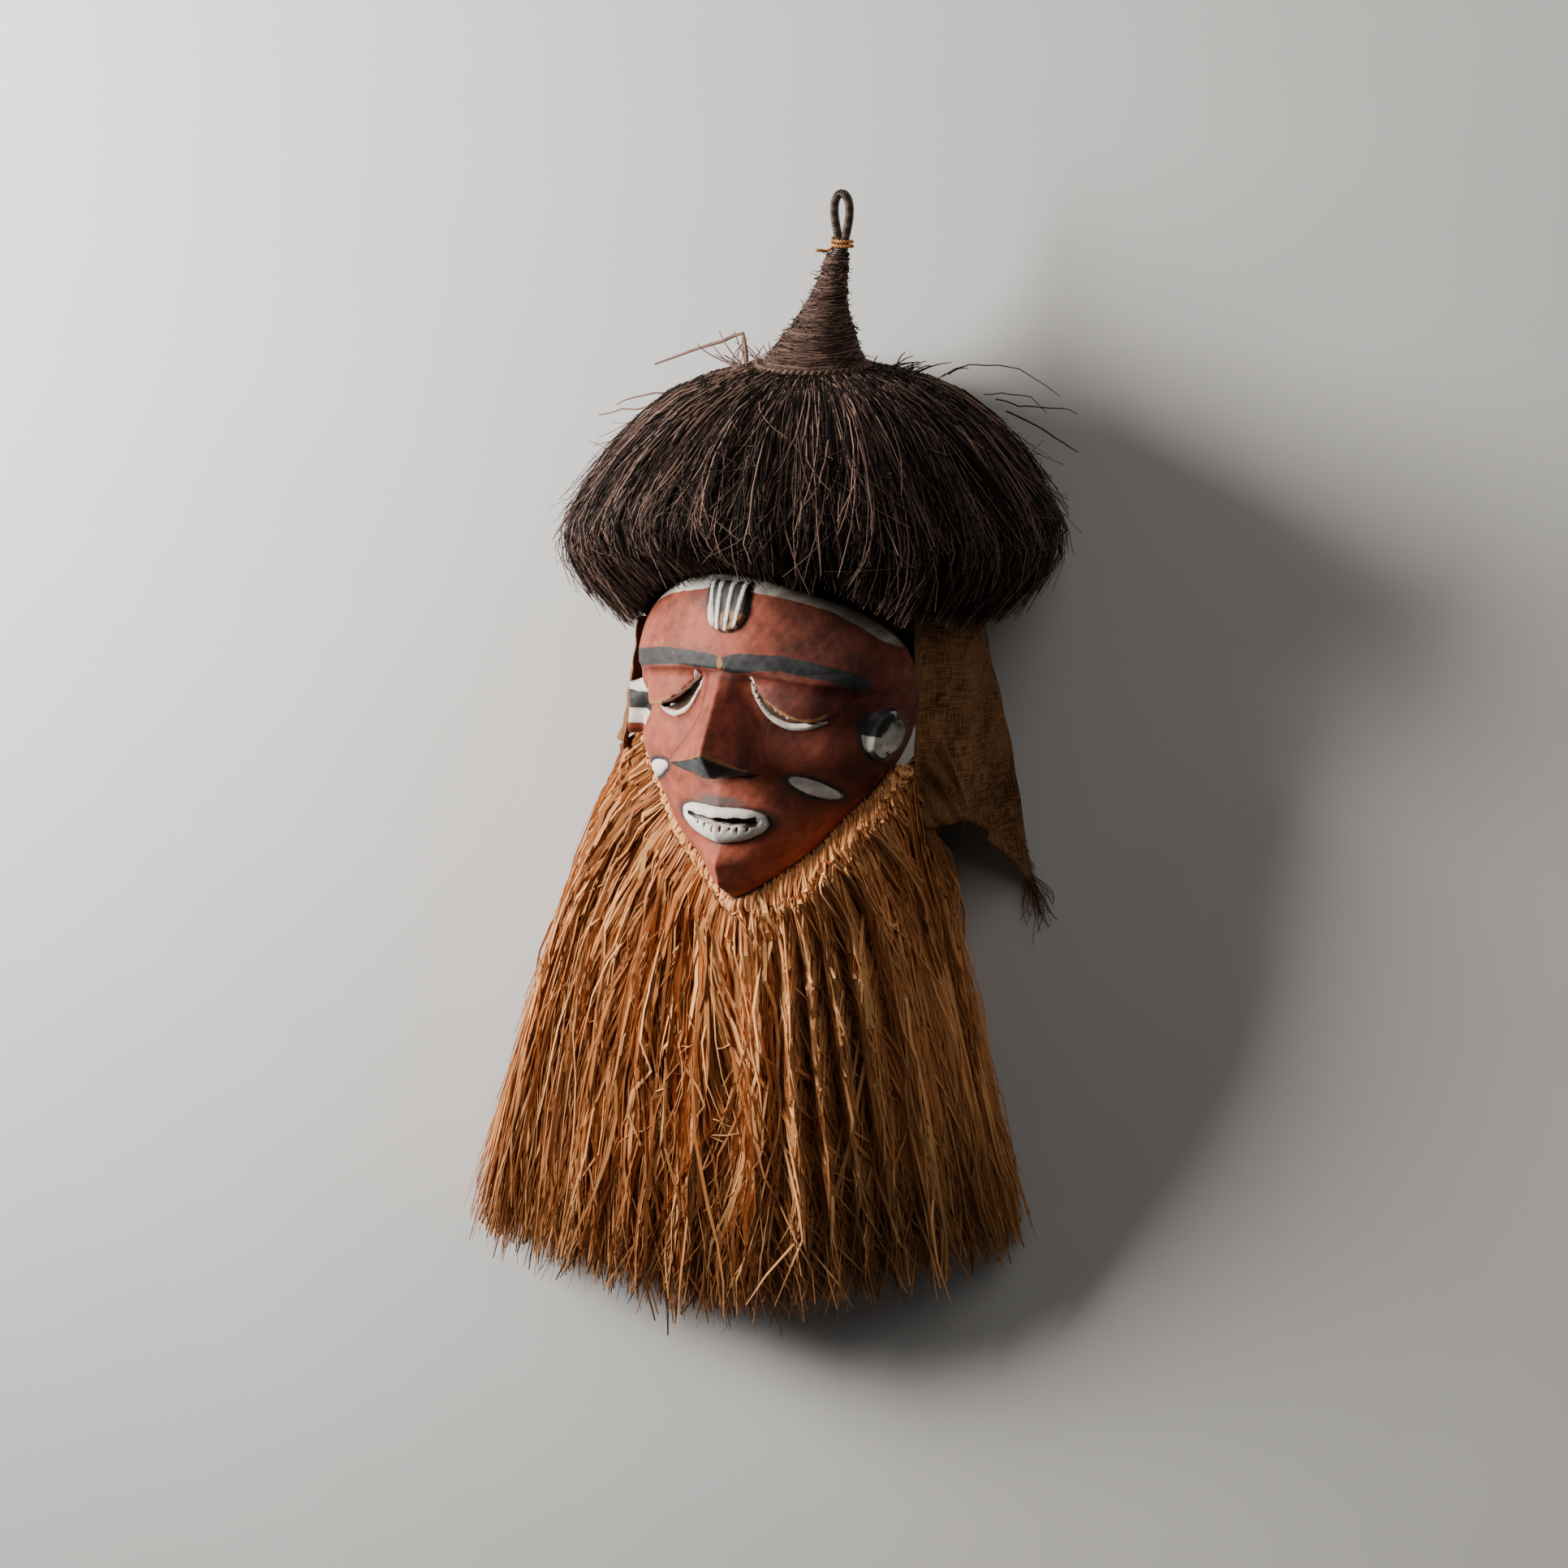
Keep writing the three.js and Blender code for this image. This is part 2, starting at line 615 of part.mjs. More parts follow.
function knottedCollar() {
  const steps = COLLAR.knots * 2;
  const sections = [];
  for (let i = 0; i <= steps; i += 1) {
    const u = i / steps;
    const radius = i % 2 ? COLLAR.thick : COLLAR.thin;
    const ring = [];
    for (let k = 0; k < COLLAR.sides; k += 1) {
      const angle = (2 * Math.PI * (k + (i % 2) / 2)) / COLLAR.sides;
      const out = COLLAR.offset + radius * Math.cos(angle);
      ring.push(besideRim(u, out, radius * Math.sin(angle) + COLLAR.low));
    }
    sections.push(ring);
  }
  return skin(sections);
}

function beardStart(u, out = 0) {
  const { x, y, z } = besideRim(u, COLLAR.offset + COLLAR.thick + BEARD.gap + out, COLLAR.low);
  return inPart(x, y, z);
}

function beardTop(u, v) {
  const strands = [1, 2, 3].map((k) => pathThrough(BEARD_STRANDS.map((row) => [row[0], row[k]]), u));
  const stations = [beardStart(u), ...strands].map((p, k) => [k / 3, [p.x, p.y, p.z]]);
  return pathThrough(stations, v);
}

// Closes a section whose first count points are its top, left to right, and the others its underside,
// right to left: a strip of triangles between the two.
function ladder(size, count) {
  const under = size - count;
  const faces = [];
  let i = 0;
  let j = 0;
  while (i < count - 1 || j < under - 1) {
    const topNext = (i + 1) / (count - 1) <= (j + 1.5) / under;
    if (j === under - 1 || (i < count - 1 && topNext)) {
      faces.push([i, i + 1, size - 1 - j]);
      i += 1;
    } else {
      faces.push([i, size - 2 - j, size - 1 - j]);
      j += 1;
    }
  }
  return faces;
}

function raffiaBeard() {
  const sections = [];
  for (let j = 0; j <= BEARD.along; j += 1) {
    const v = (j / BEARD.along) ** 1.15;
    const section = [];
    for (let i = 0; i <= BEARD.across; i += 1) {
      const u = i / BEARD.across;
      const point = beardTop(u, v);
      const lock = (i % 2 ? -BEARD.lock : BEARD.lock) + 3 * Math.sin(17 * u + 3 * v);
      const middle = Math.sin(Math.PI * clamp(u * 1.02, 0, 1)) ** 0.5;
      point.z += lock * middle * Math.sin(Math.PI * Math.min(v + 0.02, 0.5));
      if (j === BEARD.along) point.y += BEARD.ragged * Math.sin(i * 2.4) * middle;
      section.push(point);
    }
    for (const u of BEARD_BELOW) {
      const point = j === 0 ? beardStart(u, BEARD.under) : beardTop(u, v);
      point.z = Math.max(0, point.z - BEARD.skin - BEARD.fall * v);
      section.push(point);
    }
    sections.push(section);
  }
  sections.reverse();
  const loft = new LoftGeometry(sections);
  const size = sections[0].length;
  const stride = size + 1;
  const index = [...loft.index.array];
  const top = BEARD.across + 1;
  const lastRow = (sections.length - 1) * stride;
  for (const [a, b, c] of ladder(size, top)) {
    index.push(a, c, b);
    index.push(lastRow + a, lastRow + b, lastRow + c);
  }
  loft.setIndex(index);
  return geometryFrom(solidFrom(loft));
}

// Hood cloth

function clothMiddle(s, v) {
  const axis = inPart(0, 0, HEAD_AXIS_Z);
  const angle = lerp(CLOTH.from, CLOTH.to, s);
  const top = hairHem(Math.PI / 2 + ROLL - angle) - CLOTH_UNDER_HAIR;
  const flap = smoothstep(s, 0, 0.12) * (1 - smoothstep(s, 0.22, 0.4));
  const radius = CLOTH.radius + CLOTH.flare * flap;
  const x = axis.x + radius * Math.cos(angle);
  const z = Math.max(axis.z + radius * Math.sin(angle), CLOTH.thickness / 2 + FLOOR_GAP);
  return new THREE.Vector3(x, top, z).lerp(pathThrough(CLOTH_HEM, s), v);
}

function hoodCloth() {
  const rows = 3;
  const sections = [];
  for (let i = 0; i <= CLOTH.steps; i += 1) {
    const s = i / CLOTH.steps;
    const outer = [];
    const inner = [];
    for (let j = 0; j <= rows; j += 1) {
      const v = j / rows;
      const middle = clothMiddle(s, v);
      const along = clothMiddle(Math.min(s + 0.01, 1), v).sub(clothMiddle(Math.max(s - 0.01, 0), v));
      const out = new THREE.Vector3(-along.z, 0, along.x).normalize();
      const lifted = smoothstep(middle.z, CLOTH_FOLD.low, CLOTH_FOLD.high);
      middle.addScaledVector(out, CLOTH_FOLD.depth * v * lifted * Math.sin(s * CLOTH_FOLD.waves));
      const half = CLOTH.thickness / 2;
      middle.z = Math.max(middle.z, half + FLOOR_GAP);
      outer.push(middle.clone().addScaledVector(out, half));
      inner.push(middle.clone().addScaledVector(out, -half));
    }
    sections.push([...outer, ...inner.reverse()]);
  }
  return skin(sections);
}

// Scene graph

const looks = {
  face: { color: 0x9a4a38, roughness: 0.75, metalness: 0 },
  spire: { color: 0x4a3c34, roughness: 0.9, metalness: 0 },
  hair: { color: 0x2b211c, roughness: 0.9, metalness: 0 },
  loop: { color: 0x33231b, roughness: 0.55, metalness: 0 },
  tie: { color: 0xb08a58, roughness: 0.85, metalness: 0 },
  cloth: { color: 0x5a3f2a, roughness: 0.95, metalness: 0 },
  collar: { color: 0xc08e55, roughness: 0.85, metalness: 0 },
  beard: { color: 0xb37a41, roughness: 0.8, metalness: 0 },
};

function named(name, geometry, look) {
  const mesh = new THREE.Mesh(geometry, new THREE.MeshStandardMaterial(looks[look]));
  mesh.name = name;
  return mesh;
}

const inMaskFrame = new THREE.Group();
inMaskFrame.applyMatrix4(maskPlace);
inMaskFrame.add(
  named("face_mask", carvedFace(), "face"),
  named("spire_cap", openCap(), "spire"),
  named("hanging_loop", hangingLoop(), "loop"),
  named("loop_tie", loopTie(), "tie"),
  named("raffia_collar", knottedCollar(), "collar"),
);

const lying = new THREE.Group();
lying.add(
  inMaskFrame,
  named("hair_fringe", hairDome(), "hair"),
  named("raffia_beard", raffiaBeard(), "beard"),
  named("hood_cloth", hoodCloth(), "cloth"),
);

// The origin goes under the middle of the whole object's box.
lying.updateMatrixWorld(true);
const middle = new THREE.Box3().setFromObject(lying, true).getCenter(new THREE.Vector3());
lying.position.set(-middle.x, -middle.y, 0);

const mask = new THREE.Group();
mask.name = "pende_mask";
mask.add(lying);

export default mask;
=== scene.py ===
import math

import bmesh
import bpy
import numpy as np
from bpy.props import FloatProperty, FloatVectorProperty, IntProperty, PointerProperty
from mathutils import Matrix, Vector


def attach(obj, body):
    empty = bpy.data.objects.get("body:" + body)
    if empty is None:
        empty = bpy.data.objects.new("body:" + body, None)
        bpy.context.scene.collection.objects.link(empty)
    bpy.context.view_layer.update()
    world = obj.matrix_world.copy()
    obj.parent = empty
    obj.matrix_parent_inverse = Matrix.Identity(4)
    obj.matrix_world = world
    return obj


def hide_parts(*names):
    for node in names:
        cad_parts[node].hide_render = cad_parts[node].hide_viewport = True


bl_info = {
    "name": "Mask with Coiffure and Raffia Beard",
    "version": (1, 0, 0),
    "blender": (4, 5, 0),
    "location": "View3D > Sidebar > Mask",
    "description": "Builds a carved mask with fibre hair, wound spire, hood cloth and raffia beard",
    "category": "Add Mesh",
}

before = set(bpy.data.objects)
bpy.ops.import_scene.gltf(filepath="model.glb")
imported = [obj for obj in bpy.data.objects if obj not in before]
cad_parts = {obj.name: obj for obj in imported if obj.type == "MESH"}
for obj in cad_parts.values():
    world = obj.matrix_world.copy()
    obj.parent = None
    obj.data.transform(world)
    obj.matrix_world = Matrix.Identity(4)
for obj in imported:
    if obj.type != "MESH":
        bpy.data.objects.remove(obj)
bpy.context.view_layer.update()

# Shapes are worked out in millimetres. The mask frame has its origin on the bridge of the nose, x to the
# viewer's right, y to the crown and z out of the face. The part frame is what the CAD uses.
MM = 0.001
BRIDGE = np.array([23.438, 107.369, 240.0])
BELOW_BRIDGE = np.array([BRIDGE[0], BRIDGE[1], 0.0])
ROLL = math.radians(15)
HEAD_AXIS_Z = -134.0

# How far the face reaches from its centre, by degrees up from level, and how far its rim lies behind the
# middle: above and below, then at the sides.
FACE_CENTRE_Y = -40.0
FACE_OUTLINE = [
    (-90, 137), (-75, 121), (-63, 111.5), (-49, 102.5), (-26, 102.5),
    (0, 108), (25, 115), (43, 109.5), (61, 103), (90, 101),
]
RIM_DEPTH = (21.0, 98.0)
# The corners of the face's grid, its wall, and the holes in its sides by degrees up from level.
TOP_CORNER, CHIN_CORNER = math.radians(25), math.radians(-75)
FACE_WALL = 8.0
LACING_HOLES, BAND_HOLE = (-18, -40, -62, -79), 24

# By distance from the face's middle line: the upper lid's lower edge, how far it stands out there, and the
# foot of the eye.
LID_EDGE = [
    (19, -7), (25, -15.5), (33, -23.4), (43, -30.4), (52, -35.6), (60, -38.8),
    (67, -39.6), (73, -37.4), (78.5, -31.5), (83, -23), (88, -12),
]
LID_HEIGHT = [
    (19, 0), (25, 4.5), (33, 9), (43, 12.5), (52, 14.5), (60, 15.5),
    (67, 15), (73, 12), (78.5, 7), (83, 3), (88, 0),
]
EYE_LOWER = [
    (19, -13), (24, -25), (33, -38), (41, -43.7), (49, -46.5), (62, -45.2), (72, -39.4), (78, -31), (88, -14),
]
# By place across the face: the brow's two edges, the lower edge of the white band, and the tooth marks.
BROW_TOP = [
    (-97, -7), (-73, 0.6), (-53, 5), (-35, 6.6), (-19, 7.4), (-4.3, 6.6), (0.5, 4.9), (8.9, 7.6), (21, 9),
    (32.6, 8.9), (43.6, 8.7), (54, 6.9), (64.6, 4.6), (74.7, 1.6), (83.8, -1.8), (92, -5.9), (98, -12),
]
BROW_FOOT = [
    (-97, -21), (-80, -14), (-66, -10), (-51, -7), (-34, -4.5), (-19, -4.7), (-4, -3.7), (2.4, -4.3),
    (8.3, -6.3), (21, -4.7), (33.5, -2.3), (45, -2.3), (55.7, -4.5), (66, -6.6), (76.5, -8.6), (84.3, -13.6),
    (92, -17.5), (98, -17),
]
BAND_FOOT = [
    (-108, 4), (-90, 23), (-64.7, 38), (-45, 44.8), (-26, 49.3), (-10, 53), (17.7, 51.5), (26.6, 50.5),
    (38, 48.5), (48.7, 45.5), (59, 42), (68.6, 38), (78, 32), (88.5, 24), (98, 15), (104, 9), (108, 3),
]
TEETH = (-15, -8.5, -1.5, 5, 11.3, 16.3, 22.4)
# Half of the mouth's opening in its middle, and what that gains towards the right.
MOUTH_OPEN, MOUTH_SLANT = 2.5, 1.1
# The distance that stands for being nowhere near a painted form.
FAR = -20.0

# The hair's radius by its share of the way up from the hem, and the hem's height by degrees round from the
# front to the viewer's right.
HAIR_PROFILE = [(0, 140), (0.088, 161), (0.297, 180), (0.61, 154), (0.8, 125), (0.934, 90), (1, 42)]
HAIR_HEM = [
    (-180, 8), (-135, 4), (-90, 2), (-60, 16), (-40, 38), (-20, 58), (0, 68),
    (26, 66), (45, 52), (60, 37), (90, 28), (135, 20), (180, 8),
]
HAIR_TOP = 198.0
CAP_RADIUS, CAP_SHOULDER, CAP_HEIGHT = 101.0, 95.0, 108.0

SPIRE_FOOT, SPIRE_TOP = 198.0, 281.0
SPIRE_BASE, SPIRE_NECK = 38.0, 6.2
SPIRE_LEAN = 21.0

LOOP_X, LOOP_BOTTOM, LOOP_TOP, LOOP_HALF, LOOP_DRAWN = 23.8, 285.4, 324.0, 8.7, 0.35

# The collar's two ends by degrees up from level, how far its middle lies outside the rim, and its half width.
COLLAR_FROM, COLLAR_TO = -162.0, -23.0
COLLAR_OUT, COLLAR_HALF = 7.3, 6.8

# The beard's surface: three points down it at shares of the way along the jaw, from below the bridge.
BEARD_STRANDS = [
    (0.0, [(-150, -160, 12), (-202, -318, 12), (-256, -486, 10)]),
    (0.18, [(-139, -212, 110), (-182, -340, 76), (-220, -502, 50)]),
    (0.5, [(0, -296, 184), (-15, -412, 136), (-35, -536, 86)]),
    (0.82, [(112, -222, 138), (128, -345, 98), (146, -488, 56)]),
    (1.0, [(111, -200, 28), (135, -350, 12), (170, -462, 10)]),
]
BEARD_LENGTH = 420.0

# The cloth's hem by its share of the way round from the right temple, from below the bridge.
CLOTH_HEM = [
    (0, (121, -103, 157)), (0.04, (134, -132, 146)), (0.07, (149, -128, 132)), (0.12, (158, -148, 88)),
    (0.17, (167, -176, 44)), (0.22, (178, -206, 6)), (0.3, (160, -150, 3)),
    (0.4, (100, -92, 3)), (0.75, (-100, -84, 3)), (0.88, (-117, -88, 48)), (1, (-112, -96, 116)),
]
CLOTH_RADIUS, CLOTH_FLARE = 108.0, 14.0
CLOTH_FROM, CLOTH_TO = math.radians(32.8), math.radians(-183)

# Single hairs that stand off the dome (height over the floor, half thickness, places), and the corners of
# the cloth's turned-up part, both from below the bridge.
TWIGS = [
    (111, 1.5, [(-14, 190), (-18, 218), (-33, 212), (-57, 204), (-85, 193)]),
    (118, 0.9, [(-62, 160), (-78, 164), (-102, 161), (-126, 154)]),
    (104, 0.8, [(-60, 168), (-84, 172), (-106, 166), (-118, 160)]),
    (111, 0.5, [(132, 194), (152, 203), (174, 204), (199, 196), (218, 183)]),
    (100, 0.6, [(168, 176), (190, 172), (212, 173), (228, 169)]),
    (97, 0.7, [(176, 168), (198, 158), (214, 148), (229, 139)]),
    (104, 0.5, [(160, 180), (180, 182), (196, 178), (206, 168)]),
]
TURNED_CORNER = [(148, -60, 172), (119, -101, 162), (131, -134, 154), (166, -124, 152)]

# The camera's angles to the right of the face and above it, how far its aim lies from the bridge and the
# width that it sees there, both in metres, and its sensor in millimetres.
VIEW_RIGHT, VIEW_UP = math.radians(30), math.radians(13)
AIM_RIGHT, AIM_DOWN = 0.0458, 0.0858
VIEW_WIDTH, SENSOR = 1.1206, 36.0
# Each lamp's way from the aim (to the right, up and to the camera), distance, size and share of the power.
LAMPS = [
    ("key", (-0.97, 0.28, 0.28), 1.7, 0.75, 1.0),
    ("soft", (0.3, 0.5, 0.9), 2.6, 1.6, 0.19),
]
LAMP_COLOUR, SKY_COLOUR = (1.0, 0.965, 0.92), (1.0, 0.98, 0.96, 1.0)


# Numbers and places


def clamp(value, low=0.0, high=1.0):
    return np.minimum(np.maximum(value, low), high)


def smooth(value, low, high):
    t = clamp((value - low) / (high - low))
    return t * t * (3 - 2 * t)


def mix(a, b, t):
    return a + (b - a) * t


def near(off, width, up=0.0, height=1.0):
    """1 where off and up are 0, and less the further off it is, on the scale of the width and the height."""
    return np.exp(-(off / width) ** 2 - (up / height) ** 2)


def through(stations, at):
    """A smooth curve through (position, value or point) stations, read at many positions."""
    xs = np.array([s[0] for s in stations], float)
    ys = np.array([s[1] for s in stations], float)
    at = np.clip(np.asarray(at, float), xs[0], xs[-1])
    last = len(xs) - 1
    i = np.clip(np.searchsorted(xs, at, side="left") - 1, 0, last - 1)
    low, high = np.maximum(np.arange(last + 1) - 1, 0), np.minimum(np.arange(last + 1) + 1, last)
    rise = ys[high] - ys[low]
    run = xs[high] - xs[low]
    slope = rise / (run[:, None] if ys.ndim == 2 else run)
    span = xs[i + 1] - xs[i]
    t = (at - xs[i]) / span
    if ys.ndim == 2:
        span, t = span[..., None], t[..., None]
    bend = t * t * (3 - 2 * t)
    leaving = span * t * (1 - t) ** 2 * slope[i]
    arriving = -span * t * t * (1 - t) * slope[i + 1]
    return mix(ys[i], ys[i + 1], bend) + leaving + arriving


def unit(v):
    return v / np.maximum(np.linalg.norm(v, axis=-1, keepdims=True), 1e-9)


def from_mask(points):
    """Mask frame to part frame, still in millimetres."""
    x, y, z = points[..., 0], points[..., 1], points[..., 2]
    c, s = math.cos(ROLL), math.sin(ROLL)
    return np.stack([x * c - z * s, y, x * s + z * c], -1) + BRIDGE


def to_mask(points):
    x, y, z = np.moveaxis(points - BRIDGE, -1, 0)
    c, s = math.cos(ROLL), math.sin(ROLL)
    return np.stack([x * c + z * s, y, z * c - x * s], -1)


def from_bridge(points):
    """Points measured from below the bridge, on the floor, to part frame."""
    return points + BELOW_BRIDGE


def reach_along(path):
    """How far along a path each of its points lies."""
    return np.concatenate([[0], np.cumsum(np.linalg.norm(np.diff(path, axis=0), axis=1))])


def path_at(path, reach, at):
    """Points of a path at distances along it."""
    return np.stack([np.interp(at, reach, path[:, k]) for k in range(3)], -1)


# Meshes


def write_field(data, name, values):
    """Gives a mesh one number for each of its points."""
    layer = data.attributes.new(name, "FLOAT", "POINT")
    layer.data.foreach_set("value", np.asarray(values, np.float32).ravel())


def add_object(name, data):
    """An object in the scene, at the origin."""
    made = bpy.data.objects.new(name, data)
    bpy.context.scene.collection.objects.link(made)
    return made


def new_mesh(name, points, faces, fields=None):
    """A mesh object from points in millimetres of the part frame, with its faces outwards. Fields are one
    number for each point."""
    data = bpy.data.meshes.new(name)
    points = np.asarray(points, float).reshape(-1, 3) * MM
    data.from_pydata(points.tolist(), [], faces if isinstance(faces, list) else faces.tolist())
    data.polygons.foreach_set("use_smooth", np.ones(len(data.polygons), bool))
    for key, values in (fields or {}).items():
        write_field(data, key, values)
    data.validate()
    data.update()
    made = add_object(name, data)
    # A single face, as the floor is, has no outside.
    if len(faces) > 1:
        outward(made)
    return made


def grid_faces(rows, columns, wrap_columns=False, wrap_rows=False, start=0):
    """Quads of a grid whose points run along the columns first."""
    r = np.arange(rows if wrap_rows else rows - 1)
    c = np.arange(columns if wrap_columns else columns - 1)
    r, c = np.meshgrid(r, c, indexing="ij")
    r2, c2 = (r + 1) % rows, (c + 1) % columns
    quads = np.stack([r * columns + c, r * columns + c2, r2 * columns + c2, r2 * columns + c], -1)
    return quads.reshape(-1, 4) + start


def tube_points(path, radius_side, radius_up, side, up, corners):
    """Rings of points round a path (n, 3), for a tube with its own sideways directions."""
    angle = 2 * np.pi * np.arange(corners) / corners
    ring = (np.cos(angle)[None, :, None] * side[:, None, :] * np.reshape(radius_side, (-1, 1, 1))
            + np.sin(angle)[None, :, None] * up[:, None, :] * np.reshape(radius_up, (-1, 1, 1)))
    return path[:, None, :] + ring


def tube_frames(path):
    """Two directions across a path at each of its points, which turn as little as they can on the way."""
    along = unit(np.gradient(path, axis=0))
    side = np.zeros_like(path)
    side[0] = unit(np.cross(along[0], [0.31, 0.42, 0.85]))
    for i in range(1, len(path)):
        s = side[i - 1] - along[i] * np.dot(side[i - 1], along[i])
        side[i] = s / max(np.linalg.norm(s), 1e-9)
    return side, np.cross(along, side)


def tubes_mesh(name, paths, radius, corners=6, closed=False, fields=None, flat=1.0):
    """Tubes round several paths, each (n, 3) in millimetres of the part frame, as one mesh. A field is one
    number, or a number or a row of numbers for each path."""
    fields = fields or {}
    points, faces, values, start = [], [], {key: [] for key in fields}, 0
    for k, path in enumerate(paths):
        side, up = tube_frames(path)
        rows = len(path)
        r = np.broadcast_to(np.asarray(radius[k] if np.ndim(radius) else radius, float), (rows,))
        points.append(tube_points(path, r, r * flat, side, up, corners).reshape(-1, 3))
        faces.extend(grid_faces(rows, corners, wrap_columns=True, wrap_rows=closed, start=start).tolist())
        if not closed:
            end = start + (rows - 1) * corners
            faces.append(list(range(start + corners - 1, start - 1, -1)))
            faces.append(list(range(end, end + corners)))
        for key, field in fields.items():
            own = np.asarray(field if np.isscalar(field) else field[k], float).reshape(-1, 1)
            values[key].append(np.broadcast_to(own, (rows, corners)).ravel())
        start += rows * corners
    joined = {key: np.concatenate(rows) for key, rows in values.items()}
    return new_mesh(name, np.concatenate(points), faces, joined)


def outward(piece):
    """Turns every face outwards."""
    bm = bmesh.new()
    bm.from_mesh(piece.data)
    bmesh.ops.recalc_face_normals(bm, faces=bm.faces)
    bm.to_mesh(piece.data)
    bm.free()


def edge_faces(rows, columns):
    """Quads from the edge of a grid to the edge of the second grid whose points come after it."""
    index = np.arange(rows * columns).reshape(rows, columns)
    ring = np.concatenate([index[0, :-1], index[:-1, -1], index[-1, :0:-1], index[:0:-1, 0]])
    after = np.roll(ring, -1)
    return np.stack([ring, after, after + index.size, ring + index.size], -1)


def two_sided(name, front, back, field, values):
    """A closed piece from two grids of points that face each other, with one field that they share."""
    rows, columns = front.shape[:2]
    under = grid_faces(rows, columns, start=rows * columns)[:, ::-1]
    faces = np.concatenate([grid_faces(rows, columns), under, edge_faces(rows, columns)])
    points = np.concatenate([front.reshape(-1, 3), back.reshape(-1, 3)])
    return new_mesh(name, points, faces, {field: np.tile(values.ravel(), 2)})


def lay_flat(piece, across, down):
    """Gives a two-sided cloth its UV map: the places of its grid on the flat cloth, in metres."""
    layer = piece.data.uv_layers.new(name="UVMap")
    flat = np.tile(np.stack([across, down], -1).reshape(-1, 2), (2, 1))
    corner = np.zeros(len(piece.data.loops), np.int32)
    piece.data.loops.foreach_get("vertex_index", corner)
    layer.data.foreach_set("uv", flat[corner].astype(np.float32).ravel())


def applied(piece):
    """The piece with its modifiers turned into plain mesh."""
    graph = bpy.context.evaluated_depsgraph_get()
    data = bpy.data.meshes.new_from_object(piece.evaluated_get(graph))
    piece.modifiers.clear()
    old = piece.data
    piece.data = data
    data.name = piece.name
    bpy.data.meshes.remove(old)
    return piece


def strand_tree(name, material, corners, flat):
    """Geometry nodes that give every polyline a thin tapered body: a round fibre or a flat strip."""
    tree = bpy.data.node_groups.new(name, "GeometryNodeTree")
    face = tree.interface
    face.new_socket("Geometry", in_out="INPUT", socket_type="NodeSocketGeometry")
    size = face.new_socket("Thickness", in_out="INPUT", socket_type="NodeSocketFloat")
    flatness = face.new_socket("Flatness", in_out="INPUT", socket_type="NodeSocketFloat")
    face.new_socket("Geometry", in_out="OUTPUT", socket_type="NodeSocketGeometry")
    link = tree.links.new

    def add(kind, **values):
        node = tree.nodes.new(kind)
        for key, value in values.items():
            node.inputs[key.replace("_", " ")].default_value = value
        return node

    ins, outs = add("NodeGroupInput"), add("NodeGroupOutput")
    curve, tilt = add("GeometryNodeMeshToCurve"), add("GeometryNodeSetCurveTilt")
    thick = add("GeometryNodeInputNamedAttribute", Name="thickness")
    turn = add("GeometryNodeInputNamedAttribute", Name="turn")
    sized = add("ShaderNodeMath")
    sized.operation = "MULTIPLY"
    ring = add("GeometryNodeCurvePrimitiveCircle", Resolution=corners, Radius=1.0)
    squash, shape = add("GeometryNodeTransform"), add("ShaderNodeCombineXYZ", X=1.0, Z=1.0)
    body = add("GeometryNodeCurveToMesh", Fill_Caps=True)
    real, paint = add("GeometryNodeRealizeInstances"), add("GeometryNodeSetMaterial", Material=material)
    link(ins.outputs["Geometry"], curve.inputs["Mesh"])
    link(curve.outputs[0], tilt.inputs["Curve"])
    link(turn.outputs[0], tilt.inputs["Tilt"])
    link(tilt.outputs[0], body.inputs["Curve"])
    link(thick.outputs[0], sized.inputs[0])
    link(ins.outputs["Thickness"], sized.inputs[1])
    link(sized.outputs[0], body.inputs["Scale"])
    link(ins.outputs["Flatness"], shape.inputs["Y"])
    link(shape.outputs[0], squash.inputs["Scale"])
    link(ring.outputs["Curve"], squash.inputs["Geometry"])
    link(squash.outputs[0], body.inputs["Profile Curve"])
    link(body.outputs[0], real.inputs[0])
    link(real.outputs[0], paint.inputs["Geometry"])
    link(paint.outputs[0], outs.inputs[0])
    return tree, {size.identifier: 1.0, flatness.identifier: flat}


def strands(name, paths, thickness, turn, material, fields, corners=3, flat=1.0, creased=False):
    """Many strands as one mesh. paths is (strands, points, 3) in millimetres of the part frame; thickness
    is half of the real one, in millimetres, turn is in radians, and they and the fields fit the points."""
    count, steps = paths.shape[:2]
    data = bpy.data.meshes.new(name)
    first = (np.arange(count)[:, None] * steps + np.arange(steps - 1)[None, :]).ravel()
    data.from_pydata((paths.reshape(-1, 3) * MM).tolist(), np.stack([first, first + 1], -1).tolist(), [])
    for key, value in {"thickness": thickness * MM, "turn": turn, **fields}.items():
        write_field(data, key, np.broadcast_to(value, (count, steps)))
    made = add_object(name, data)
    tree, inputs = strand_tree(name + " strands", material, corners, flat)
    modifier = made.modifiers.new("strands", "NODES")
    modifier.node_group = tree
    for identifier, value in inputs.items():
        modifier[identifier] = value
    applied(made)
    made.data.polygons.foreach_set("use_smooth", np.full(len(made.data.polygons), not creased))
    return made


def shades(tone, along=0.0, deep=0.0):
    """The fields that a fibre's look reads: its own tone, how far along it is, and how deep in shade."""
    return {"tone": tone, "along": along, "deep": deep}


def settle(piece, nodes=(), material=None):
    """Puts a finished piece on the part: its body and the nodes that it stands for."""
    if len(piece.data.polygons) == 0:
        raise RuntimeError(piece.name + " has no faces")
    if material is not None:
        piece.data.materials.clear()
        piece.data.materials.append(material)
    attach(piece, "root")
    if nodes:
        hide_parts(*nodes)
    return piece


# Finishes


